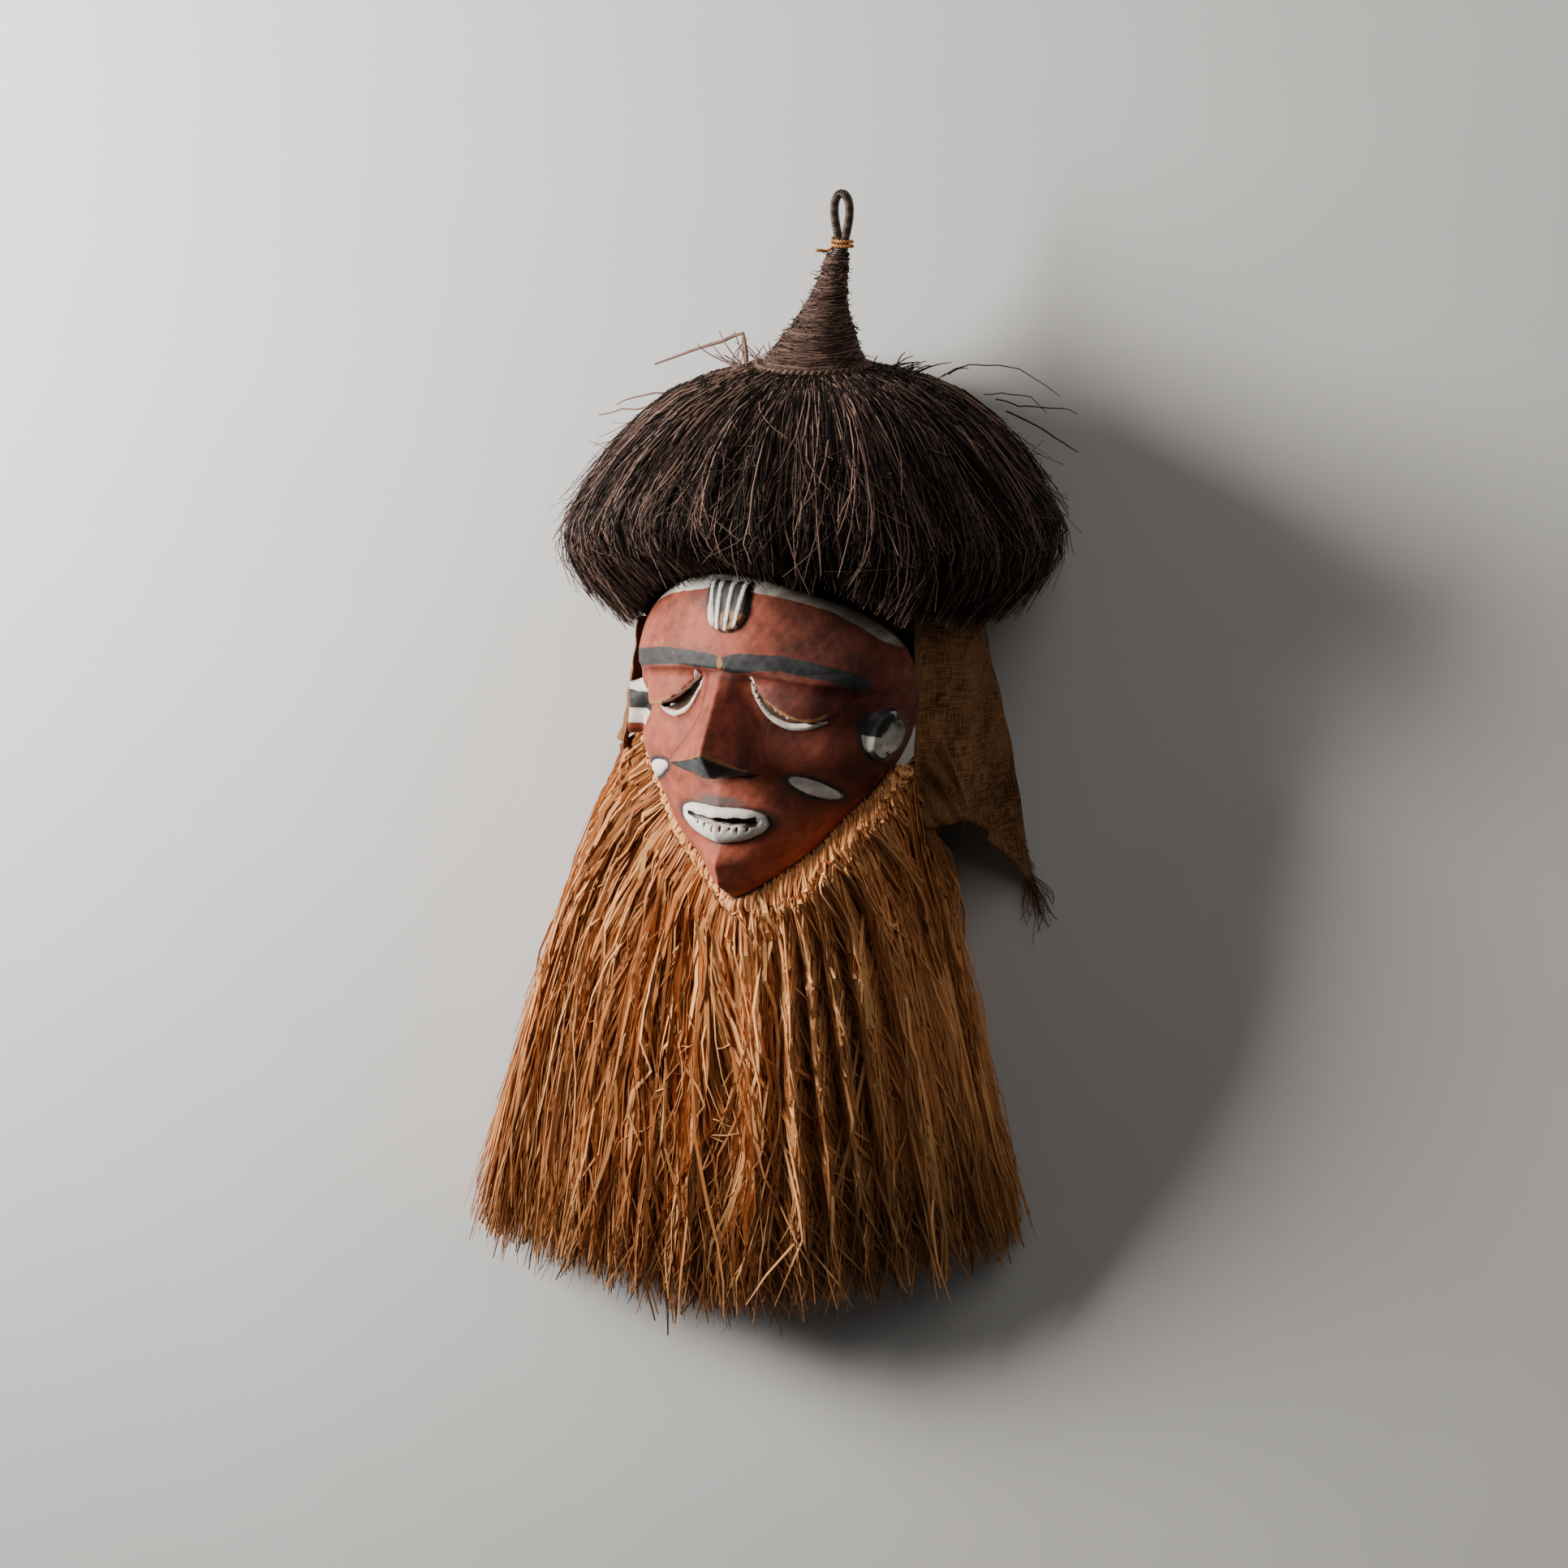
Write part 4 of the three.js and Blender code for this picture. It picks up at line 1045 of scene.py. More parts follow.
def white_paint(at):
    """The band under the hair, the lids' lines, partly a painted highlight, the lips, cheek marks, ears and
    crest lines.
    """
    # Painted highlight: a thin white line along each upper lid's lower edge.
    lid_highlight = 0.9 - np.abs(at.y - at.edge - 0.6)
    lid_highlight = np.where(at.eye & (at.y < at.edge + 2) & (at.side < 58), lid_highlight, FAR)
    inner_corner = np.where(at.eye & (at.side < 33), 2.2 - np.hypot(at.side - 23, (at.y + 14) * 0.35), FAR)
    lips = np.minimum((1 - at.lips) * 13, np.minimum(-at.opening, -at.notch))
    left_ear = np.minimum(np.minimum((1.3 - at.ear) * 16, at.y + 64), np.abs(at.y + 46) - 6.5)
    ear = np.where(at.on_side & (at.x > 0), np.minimum(at.bowl, at.boss - 9.6), FAR)
    ear = np.where(at.on_side & (at.x < 0), left_ear, ear)
    white = [at.band, at.rim, lid_highlight, inner_corner, lips, (1 - at.cheek) * 5, ear, at.crest]
    return np.where((at.pad > 0) & (at.crest < 0), at.crest, np.max(white, axis=0))


def soiled_and_shaded_white(at):
    """How much the white paint is darkened: grime all over, and painted shade that grows towards the right
    side.
    """
    # Painted shade: the band darkens towards the right side, and the right ear and right cheek mark are
    # darker than the left ones.
    band = 0.3 + 0.5 * smooth(at.x, 8, 45) + 0.12 * np.sin(at.x * 0.3) * np.sin(at.y * 0.5)
    soil = np.where(at.band > -3, band, 0.15)
    soil = np.where(at.pad > -1, 0.25, soil)
    soil = np.where(at.on_side, 0.35 + 0.25 * (at.x > 0), soil)
    cheek = np.where(at.x > 0, 0.38 + 0.4 * smooth(at.y, -93, -82), 0.12)
    soil = np.where((1 - at.cheek) * 5 > -2, cheek, soil)
    return np.where(at.eye & (at.rim > -3), 0.1 + 0.5 * smooth(at.side, 56, 70), soil)


def black_paint(at):
    """The brow, the eyes' slits and painted shadow under the lids, the nose's tip, the cheek marks' rims, the
    ears and the mouth.
    """
    # Painted shadow: black from each lid's edge down to the white below it.
    lid_shadow = np.minimum(at.edge - 0.2 - at.y, at.y - at.low - 4.9)
    lid_shadow = np.where(at.eye & (at.side < 72), lid_shadow, FAR)
    right_ear = np.maximum(9.9 - at.boss, np.where(at.bowl < 0, at.bowl + 2.0, FAR))
    left_ear = np.minimum((1.38 - at.ear) * 16, 6.7 - np.abs(at.y + 46))
    ear = np.where(at.on_side & (at.x > 0), right_ear, FAR)
    ear = np.where(at.on_side & (at.x < 0), left_ear, ear)
    crest = np.minimum(at.pad + 1.2, crest_lines(at.x, at.y))
    lip_line = np.where(at.lips > 0.98, (1.085 - at.lips) * 13, FAR)
    return np.max([at.brow, lid_shadow, at.tip, at.mark, ear, crest, lip_line, at.opening, at.notch], axis=0)


def painted_grey_shade(at):
    """Painted shade in grey over the red: above and beside the mouth, on the chin's right facet and round the
    cheek marks.
    """
    grey = 0.9 * near(at.x, 30, at.y + 100, 6) + 0.5 * near(at.side - 36, 9, at.y + 112, 9)
    grey = grey + 0.55 * near(at.x - 12, 9, at.y + 150, 10)
    return grey + 0.4 * (1 - smooth(np.abs(at.mark), 0, 4)) * (at.cheek > 1)


def worn_edges(at):
    """Where the paint is rubbed off: the bridge, over the brow, the lids, the nose, the rim and the crest."""
    x, y = at.x, at.y
    wear = near(x - 0.5, 3.2, y - 1, 6)
    wear = wear + 0.55 * near(y - at.brow_top - 3.2, 2.4) * (at.side < 90) * (0.6 + 0.4 * (x < 0))
    wear = wear + 0.85 * np.where(at.eye, near(y - at.edge - 2.2, 2.0), 0) * smooth(at.lid, 6, 12)
    nose_line = np.where(at.side < at.nose + 2, near(-y - at.nose_end, 1.3), 0)
    speckle = near(-y - at.nose_end - 0.5, 3.0) * (at.side < at.nose) * smooth(x, 6, 12)
    wear = wear + 0.8 * nose_line + 0.42 * speckle + 0.5 * near(at.outer - 1, 1.6) * (y < 0)
    wear = wear + 0.75 * (at.pad > 0) * (at.crest < 0) * smooth(-y, -46, -34)
    return wear + 0.6 * np.where(at.lips < 1, near(y - mouth_line(x) - 5, 1.3), 0) * (x > -18)


def darkened_and_shaded_red(at):
    """How much the red is darkened: in the grooves, under the brow and the edges and below the white band,
    and over the right side, which is painted shade.
    """
    x, y, side = at.x, at.y, at.side
    under_brow = at.brow_foot - y
    dirt = 0.75 * near(np.abs(side - at.nose), 3.5) * ((y < -6) & (y > -76))
    dirt = dirt + 0.6 * smooth(under_brow, 0, 2) * (1 - smooth(under_brow, 3, 9)) * (side < 90)
    dirt = dirt + 0.7 * near(at.lips - 1.12, 0.1)
    dirt = dirt + 0.6 * np.where(at.eye, near(y - at.low + 3, 3.5), 0)
    dirt = dirt + 0.5 * (1 - smooth(np.abs(crest_away(x, y) - 18), 0, 2.5)) * (y < 58) + 1.2 * crack(x, y)
    # Painted shade: the last term on this line and all of the next line darken the right side of the face.
    dirt = dirt + 0.55 * smooth(side, 78, 100) * (1 - smooth(at.outer, 6, 30)) + 0.25 * smooth(x, 20, 85)
    dirt = dirt + 0.85 * smooth(x, 8, 45) * (1 - smooth(-y, 90, 125))
    return clamp(dirt + 0.35 * near(y - at.foot + 5, 5) * (y > 0))


def paint_fields(points, normals):
    """The fields that the paint's look reads, for points and normals in the mask frame."""
    at = FacePlaces(points)
    facing = normals[:, 2]
    bare = (facing < -0.25) | ((at.share > 0.985) & (facing < 0.35) & (at.outer < 0.6))
    # The last field marks a painted sheen on the left facet of the nose's black base.
    return {"white": white_paint(at), "black": black_paint(at), "grey": painted_grey_shade(at),
            "wear": worn_edges(at), "dirt": darkened_and_shaded_red(at), "soil": soiled_and_shaded_white(at), "bare": bare,
            "chip": smooth(at.brow, -1, 1), "slate": smooth(at.tip, 0, 2.5) * (1 - smooth(at.x, 2, 12))}


# The hair


def hair_hem(round_):
    """Where the hair ends, at an angle from the front to the viewer's right."""
    front = np.degrees((round_ + np.pi) % (2 * np.pi) - np.pi)
    return through(HAIR_HEM, front)


def around_head(round_, radius, y):
    """Points round the head's axis, at angles from the front to the viewer's right."""
    x, z = radius * np.sin(round_), HEAD_AXIS_Z + radius * np.cos(round_)
    return from_mask(np.stack(np.broadcast_arrays(x, y, z), -1))


def hair_point(round_, share, off):
    """A point of the dome: share runs from 0 at the hem to 1 at the spire's foot; off is outwards."""
    hem = hair_hem(round_) + 2.5 * np.sin(11 * round_ + 1) + 1.5 * np.sin(23 * round_)
    return around_head(round_, through(HAIR_PROFILE, clamp(share)) + off, hem + (HAIR_TOP - hem) * share)


def above_floor(points, least=1.1, soft=6.0):
    """Points pressed flat where they would go through the floor."""
    z = points[..., 2]
    low = np.where(z < soft, least + (soft - least) * np.exp(np.minimum(z - soft, 0) / (soft - least)), z)
    points[..., 2] = np.maximum(low, least)
    return points


def hair_strands(rng, count, steps, start, end, depth, lift, wander):
    """Paths of hairs over the dome, from their start share to their end share. Hairs of one lock lie
    together. Depth and lift are how far off the dome a hair starts, and how much further it ends."""
    each, locks = (count, 1), 170
    t = np.linspace(0, 1, steps)[None, :]
    phi = (np.arange(count) + rng.random(count)) / count * 2 * np.pi - np.pi
    phi = phi[rng.permutation(count)][:, None]
    first = start(rng, count)[:, None]
    last = end(rng, count)[:, None]
    lock = np.round(phi / (2 * np.pi) * locks).astype(int)
    swing = rng.normal(0, 0.035, locks + 2)[lock]
    raised = rng.normal(0, 2.2, locks + 2)[lock]
    middle = (lock + rng.normal(0, 0.3, each)) / locks * 2 * np.pi
    drift = rng.normal(0, wander, each)
    kinks = rng.normal(0, 0.006, (count, steps)) * t
    round_ = phi + (middle - phi) * 0.5 * t ** 1.2 + (drift + swing) * t ** 1.3 + kinks
    share = mix(first, last, t ** 0.95)
    base = rng.uniform(*depth, each)
    swell = 1.8 * np.sin(5 * round_ + 2) + 1.5 * np.sin(9 * round_)
    swell = swell + 2.5 * np.sin(28 * round_) * np.sin(np.pi * t)
    body = np.sin(np.pi * clamp(1 - share)) ** 0.5
    sprung = (rng.random(each) < 0.28) * rng.uniform(2, 13, each) * (depth[1] > -3)
    off = base + (swell + raised) * body + (rng.uniform(*lift, each) + sprung) * t ** 3
    off = off + rng.normal(0, 0.5, (count, steps)) * t
    return hair_point(round_, share, off), t


def hair_mat():
    """The mat under the hairs: a closed dome that is hollow for the cap."""
    columns, rows, inset = 180, 32, 13.0
    round_ = np.linspace(0, 2 * np.pi, columns, endpoint=False)[:, None]
    t = np.linspace(0, 1, rows)[None, :]
    ridge = np.random.default_rng(5).random((columns, 1))
    off = -inset + 3.0 * (ridge - 0.5) * np.sin(np.pi * clamp(t + 0.02))
    off = off + 3.0 * np.sin(28 * round_) * np.sin(np.pi * t)
    hem = hair_hem(round_) + 5 + 3 * (ridge - 0.5)
    cap = CAP_RADIUS + 1.5
    brim = mix(cap, 122, smooth(np.cos(round_), -0.3, 0))
    lining = [around_head(round_, radius, y)
              for radius, y in ((brim, hem), (cap, 96), (96, 140), (74, 172), (46, 193))]
    points = np.concatenate([hair_point(round_, 1 - t ** 1.1, off)] + lining, axis=1)
    total = points.shape[1]
    start = np.arange(columns) * total
    after = np.roll(start, -1)
    close = np.stack([start + total - 1, after + total - 1, after, start], -1)
    faces = np.concatenate([grid_faces(columns, total, wrap_rows=True), close])
    return new_mesh("hair_mat", above_floor(points, 1.5, 8.0), faces,
                    {"ridge": np.broadcast_to(ridge, (columns, total))})


# The beard


def collar_angle(u):
    return np.radians(np.where(u < 0.5, mix(COLLAR_FROM, -90, u * 2), mix(-90, COLLAR_TO, u * 2 - 1)))


def beside_rim(u, out, above):
    """A point outside the jaw's rim, in the mask frame."""
    direction = collar_angle(u)
    reach = outline(direction) + out
    return full_jaw(np.stack([reach * np.cos(direction), FACE_CENTRE_Y + reach * np.sin(direction),
                              -rim_depth(direction) + above], -1))


def round_collar(u, radius, angle):
    """A point round the collar's middle line, in the part frame."""
    return from_mask(beside_rim(u, COLLAR_OUT + radius * np.cos(angle), radius * np.sin(angle) - 1))


def beard_surface():
    """The beard's top surface: a function that gives the point at any share of the way round and down."""
    columns, rows = 241, 81
    u, v = np.linspace(0, 1, columns), np.linspace(0, 1, rows)
    start = from_mask(beside_rim(u, COLLAR_OUT + COLLAR_HALF + 0.6, -1.0)) - BELOW_BRIDGE
    knots = [start] + [through([(row[0], row[1][k]) for row in BEARD_STRANDS], u) for k in range(3)]
    points = np.stack([through([(k / 3, knots[k][i]) for k in range(4)], v) for i in range(columns)])
    points = from_bridge(points)
    normals = unit(np.cross(np.gradient(points, axis=1), np.gradient(points, axis=0)))
    normals = normals * np.sign(normals[..., 2].mean())

    def read(table, round_, down):
        a, b = clamp(round_) * (columns - 1), clamp(down) * (rows - 1)
        i, j = np.minimum(a.astype(int), columns - 2), np.minimum(b.astype(int), rows - 2)
        fa, fb = (a - i)[..., None], (b - j)[..., None]
        return (table[i, j] * (1 - fa) * (1 - fb) + table[i + 1, j] * fa * (1 - fb)
                + table[i, j + 1] * (1 - fa) * fb + table[i + 1, j + 1] * fa * fb)

    def place(round_, down, off):
        """The point that stands off the surface there. Past the foot, it goes straight on."""
        round_, down, off = np.broadcast_arrays(round_, down, off)
        past = np.maximum(down - 1, 0)[..., None]
        spot = read(points, round_, down) + read(normals, round_, down) * off[..., None]
        ahead = read(points, round_, np.ones(down.shape)) - read(points, round_, np.full(down.shape, 0.97))
        return spot + unit(ahead) * past * BEARD_LENGTH

    return place


def even_round(place):
    """Turns an even share of the way over the beard's surface into its round coordinate."""
    u = np.linspace(0.002, 0.998, 400)
    reach = reach_along(place(u, 0.5, 0.0))
    return lambda share: np.interp(clamp(share) * reach[-1], reach, u)


def waves(rng, t, height, slow, fast, owners, which=slice(None)):
    """A wave along t for each of its owners, with its own height, pace and start."""
    size = rng.normal(0, height, owners)[which]
    pace = rng.uniform(slow, fast, owners)[which]
    return size * np.sin(t * pace + rng.uniform(0, 6, owners)[which])


def raffia_paths(rng, place, even, count, steps, knots, locks, layer, drift, wild):
    """Strips that leave the collar's knots, gather in locks, wave, cross and spread over the beard."""
    each, t = (count, 1), np.linspace(0, 1, steps)[None, :]
    lock = rng.integers(0, locks, each)
    home = (np.arange(locks) + rng.uniform(0.1, 0.9, locks))[lock] / locks
    spread = rng.normal(0, 0.85 / locks, each) * (0.5 + 1.1 * t)
    lean = rng.normal(0, drift, locks)[lock] * t ** 1.3
    sway = waves(rng, t, 0.007, 4, 12, locks, lock)
    wave = waves(rng, t, 0.0052, 9, 26, each)
    own = rng.normal(0, 0.010, each) * t ** 1.5 + rng.normal(0, 0.0028, (count, steps)) * smooth(t, 0, 0.1)
    stray = (rng.random(each) < wild) * rng.normal(0, 0.05, each) * t ** 1.2
    curl = rng.normal(0, 0.015, each) * np.sin(t * rng.uniform(6, 15, each)) * smooth(t, 0.6, 1)
    share = home + spread + lean + (sway + wave) * smooth(t, 0.03, 0.3) + own + stray + curl
    knot = (np.floor(even(home + spread[:, :1]) * knots) + 0.5) / knots + rng.normal(0, 0.25 / knots, each)
    u = mix(knot, even(share), smooth(t, 0.0, 0.26))
    end = np.where(rng.random(count) < 0.68, rng.normal(0.985, 0.03, count), rng.uniform(0.5, 1.0, count))
    # How far each strip stands off the surface: its layer, ripples, springs at its foot and root, and the
    # thick bundles that the strips lie in.
    depth = rng.uniform(*layer, locks)[lock] + rng.normal(0, 1.6, each)
    ripple = waves(rng, t, 1.1, 6, 16, each)
    off = depth * smooth(t, 0, 0.15) + ripple * smooth(t, 0, 0.1) + rng.normal(0, 0.3, (count, steps)) * t
    off = off + (rng.random(each) < 0.12) * rng.uniform(2, 9, each) * t ** 2
    off = off + rng.uniform(0, 9, each) * near(t - 0.07, 0.06)
    bundles = np.sin(2 * np.pi * 19 * share + 2.5 * np.sin(2 * np.pi * 3 * share) + 2 * t)
    thick = 3.6 + 3.2 * smooth(share, 0.5, 0.7)
    off = off + thick * bundles * smooth(t, 0.02, 0.2) * (1 - 0.25 * smooth(t, 0.7, 1))
    off = off + 5 * smooth(share, 0.55, 0.8) * np.sin(np.pi * t)
    paths = place(clamp(u, 0.002, 0.998), t * end[:, None], off)
    heap = smooth(share, 0.5, 0.66) * (1 - smooth(share, 0.86, 0.98)) * np.sin(np.pi * t ** 0.75)
    paths[..., 2] = paths[..., 2] + (13 + 9 * bundles) * heap
    # On the right, the top strips spring over the collar from inside it.
    over = (rng.random(each) < 0.85 * smooth(knot, 0.5, 0.62)) & (layer[1] > -3)
    rim = from_mask(beside_rim(clamp(knot + rng.normal(0, 0.022, each)), 2.5, 3.0))
    rim = rim + rng.normal(0, 1.5, (count, 1, 3))
    arch = smooth(t, 0, rng.uniform(0.09, 0.24, each))[..., None]
    lift = rng.uniform(4, 16, (count, 1, 1)) * (1 + 0.7 * smooth(knot, 0.56, 0.7)[..., None])
    sprung = mix(rim, paths, arch) + np.array([0, 0, 1.0]) * lift * np.sin(np.pi * arch)
    return np.where(over[..., None], sprung, paths), t, share


# The cloth


def cloth_point(s, v):
    """The hood cloth's middle surface: s runs round from the right temple, v down to the hem."""
    axis = from_mask(np.array([0.0, 0.0, HEAD_AXIS_Z])) - BELOW_BRIDGE
    angle = mix(CLOTH_FROM, CLOTH_TO, s)
    top = hair_hem(np.pi / 2 + ROLL - angle) - 2.0
    flap = smooth(s, 0, 0.12) * (1 - smooth(s, 0.22, 0.4))
    radius = CLOTH_RADIUS + CLOTH_FLARE * flap + 24 * smooth(s, 0.86, 0.97)
    x = axis[0] + radius * np.cos(angle)
    z = np.maximum(axis[2] + radius * np.sin(angle), 2.0)
    start = np.stack([x, top, z], -1)
    return mix(start, through(CLOTH_HEM, s), v[..., None])


# Settings


def colour(name, description, default):
    return FloatVectorProperty(name=name, description=description, subtype="COLOR", size=3, min=0, max=1,
                               default=default)


class PaintSettings(bpy.types.PropertyGroup):
    red: colour("Red", "Red earth paint of the ground", (0.33, 0.07, 0.037))
    white: colour("White", "White clay paint", (0.82, 0.77, 0.7))
    black: colour("Black", "Soot black paint", (0.022, 0.021, 0.022))
    ochre: colour("Ochre", "Wood and ochre that show where the paint is worn", (0.34, 0.16, 0.06))
    wood: colour("Wood", "Bare wood behind the face", (0.13, 0.07, 0.04))
    columns: IntProperty(name="Columns", description="Mesh columns across the face", default=256, min=60,
                         max=400)
    rows: IntProperty(name="Rows", description="Mesh rows down the face", default=290, min=60, max=400)


class HairSettings(bpy.types.PropertyGroup):
    count: IntProperty(name="Hairs", description="Number of long hairs on the dome", default=6600, min=500)
    radius: FloatProperty(name="Hair radius", description="Half of a hair's thickness", subtype="DISTANCE",
                          unit="LENGTH", default=0.00052, min=0.0001)
    dark: colour("Dark", "Hair in shade", (0.006, 0.0036, 0.0028))
    mid: colour("Middle", "Most of the hair", (0.021, 0.012, 0.0092))
    light: colour("Light", "Sun-bleached hairs", (0.26, 0.155, 0.118))


class SpireSettings(bpy.types.PropertyGroup):
    turns: IntProperty(name="Turns", description="Turns of fibre cord on the spire", default=38, min=10)
    cord: FloatProperty(name="Cord radius", description="Half of the cord's thickness", subtype="DISTANCE",
                        unit="LENGTH", default=0.0015, min=0.0005)
    mid: colour("Fibre", "Most of the spire's fibre", (0.085, 0.05, 0.038))


class RaffiaSettings(bpy.types.PropertyGroup):
    count: IntProperty(name="Strips", description="Number of raffia strips on the beard", default=5000,
                       min=300)
    width: FloatProperty(name="Half width", description="Half of a strip's width", subtype="DISTANCE",
                         unit="LENGTH", default=0.00138, min=0.0003)
    dark: colour("Dark", "Raffia in shade", (0.12, 0.034, 0.009))
    mid: colour("Middle", "Most of the raffia", (0.5, 0.18, 0.05))
    light: colour("Light", "Bleached raffia", (0.84, 0.42, 0.165))
    knots: IntProperty(name="Knots", description="Knots along the jaw", default=46, min=10)


class ClothSettings(bpy.types.PropertyGroup):
    thread: FloatProperty(name="Thread spacing", description="Distance between two threads",
                          subtype="DISTANCE", unit="LENGTH", default=0.0023, min=0.0005)
    thickness: FloatProperty(name="Thickness", description="Thickness of the cloth", subtype="DISTANCE",
                             unit="LENGTH", default=0.001, min=0.0003)
    dark: colour("Dark", "Stained cloth", (0.042, 0.018, 0.008))
    light: colour("Light", "Worn threads", (0.42, 0.2, 0.085))


class StageSettings(bpy.types.PropertyGroup):
    floor: colour("Floor", "Colour of the floor", (0.62, 0.61, 0.6))
    lens: FloatProperty(name="Lens", description="Focal length of the camera in millimetres", default=135.0,
                        min=10)
    key: FloatProperty(name="Key light", description="Power of the light from the viewer's left",
                       subtype="POWER", unit="POWER", default=86.0, min=0)
    fill: FloatProperty(name="Fill", description="Strength of the light from all round", default=0.04, min=0)


class MaskSettings(bpy.types.PropertyGroup):
    paint: PointerProperty(type=PaintSettings)
    hair: PointerProperty(type=HairSettings)
    spire: PointerProperty(type=SpireSettings)
    raffia: PointerProperty(type=RaffiaSettings)
    cloth: PointerProperty(type=ClothSettings)
    stage: PointerProperty(type=StageSettings)


# Operators


def add_lamp(name, aim, way, distance, size, power):
    """A square lamp that looks at the aim."""
    data = bpy.data.lights.new(name, "AREA")
    data.shape = "SQUARE"
    data.size = size
    data.energy = power
    data.color = LAMP_COLOUR
    lamp = add_object(name, data)
    lamp.location = Vector(aim + way * distance)
    lamp.rotation_mode = "QUATERNION"
    lamp.rotation_quaternion = Vector(way).to_track_quat("Z", "Y")


class MASK_OT_stage(bpy.types.Operator):
    """Add the floor, the lights and the camera"""

    bl_idname = "mask.stage"
    bl_label = "Floor, lights and camera"

    def execute(self, context):
        stage = context.scene.mask.stage
        corners = 9000.0 * np.array([(-1, -1, 0), (1, -1, 0), (1, 1, 0), (-1, 1, 0)])
        floor = new_mesh("floor", corners, [[0, 1, 2, 3]])
        floor.data.materials.append(plain_floor(stage))
        away = np.array([math.sin(VIEW_RIGHT) * math.cos(VIEW_UP), math.sin(VIEW_UP),
                         math.cos(VIEW_RIGHT) * math.cos(VIEW_UP)])
        away = unit(from_mask(away) - BRIDGE)
        up = unit(np.array([0, 1, 0]) - away * away[1])
        right = np.cross(up, away)
        aim = BRIDGE * MM + right * AIM_RIGHT - up * AIM_DOWN
        data = bpy.data.cameras.new("camera")
        data.lens = stage.lens
        data.sensor_width = SENSOR
        data.clip_end = 60.0
        camera = add_object("camera", data)
        place = aim + away * VIEW_WIDTH * stage.lens / SENSOR
        rows = [[right[k], up[k], away[k], place[k]] for k in range(3)]
        camera.matrix_world = Matrix(rows + [[0, 0, 0, 1]])
        context.scene.camera = camera
        for name, (x, y, z), distance, size, share in LAMPS:
            add_lamp(name, aim, unit(x * right + y * up + z * away), distance, size, stage.key * share)
        world = bpy.data.worlds.new("studio")
        world.use_nodes = True
        world.node_tree.nodes["Background"].inputs[0].default_value = SKY_COLOUR
        world.node_tree.nodes["Background"].inputs[1].default_value = stage.fill
        context.scene.world = world
        return {"FINISHED"}


def face_cutters():
    """The slits of the mouth and the eyes, and the holes in the sides."""
    made = [lens_blade("mouth slit", 27, 1, mouth_line, lambda across: MOUTH_OPEN + MOUTH_SLANT * across)]
    for side in (-1, 1):
        made.append(lens_blade("eye slit", 20, side * 51, lambda x: lid_edge(x)[1] - 2.1, lambda _: 1.3))
        for degrees in LACING_HOLES:
            made.append(hole_cutter("lacing hole", degrees if side > 0 else 180 - degrees, 2.2))
    return made + [hole_cutter("band hole", BAND_HOLE, 2.0)]


def point_vectors(data, key):
    """A vector of each point of a mesh."""
    values = np.zeros(len(data.vertices) * 3)
    data.vertices.foreach_get(key, values)
    return values.reshape(-1, 3)


class MASK_OT_face(bpy.types.Operator):
    """Carve and paint the wooden face"""

    bl_idname = "mask.face"
    bl_label = "Carved face"

    def execute(self, context):
        paint = context.scene.mask.paint
        face = shell_mesh("carved_face", *carved_shell(paint.columns, paint.rows))
        cut(face, face_cutters())
        data = face.data
        points = plain_jaw(to_mask(point_vectors(data, "co") / MM))
        normals = to_mask(point_vectors(data, "normal") + BRIDGE)
        for key, values in paint_fields(points, normals).items():
            write_field(data, key, values)
        data.polygons.foreach_set("use_smooth", np.ones(len(data.polygons), bool))
        settle(face, ["face_mask"], painted_wood(paint))
        return {"FINISHED"}


def between(low, high):
    """Draws of numbers from a range."""
    return lambda rng, count: rng.uniform(low, high, count)


def either(chance, first, other):
    """Draws of numbers from the first range with this chance, or else from the other."""
    return lambda rng, count: np.where(rng.random(count) < chance, rng.uniform(*first, count),
                                       rng.uniform(*other, count))


def hair_tufts(rng, look):
    """The single hairs that stand off the dome, the tuft beside the spire and the one at the right."""
    t = np.linspace(0, 1, 9)
    curve = np.sin(t * 3)[:, None]
    paths, thick = [], []
    for height, size, places in TWIGS:
        line = through([(k / (len(places) - 1), place) for k, place in enumerate(places)], t)
        bend = np.stack([line[:, 0], line[:, 1], height + 3 * np.sin(t * 5)], -1)
        paths.append(bend + rng.normal(0, 0.7, (9, 3)))
        thick.append(size)
    for _ in range(26):
        root = np.array([rng.normal(-10, 6), 190 + rng.normal(0, 3), 111 + rng.normal(0, 8)])
        tip = np.array([rng.normal(-6, 14), rng.uniform(10, 30), rng.normal(0, 8)])
        paths.append(root + tip * t[:, None] + np.array([rng.normal(0, 4), 0, 0]) * curve)
        thick.append(0.6)
    for _ in range(30):
        root = np.array([rng.normal(92, 16), 190 + rng.normal(0, 3), 112 + rng.normal(0, 8)])
        tip = np.array([rng.uniform(6, 30), rng.uniform(2, 14), rng.normal(0, 8)])
        paths.append(root + tip * t[:, None] + np.array([0, rng.normal(2, 2), 0]) * curve)
        thick.append(0.55)
    paths = from_bridge(np.array(paths))
    # Painted shade: hairs on the viewer's right get a darker tone than those on the left.
    tone = np.where(paths[:, :1, 0] > BRIDGE[0] + 40, 0.2, 0.75) + 0.25 * rng.random((len(paths), 1))
    thick = np.array(thick)[:, None] * (1 - 0.5 * t ** 2)
    settle(strands("hair_wisps", above_floor(paths), thick, 0.0, look, shades(tone), corners=4))


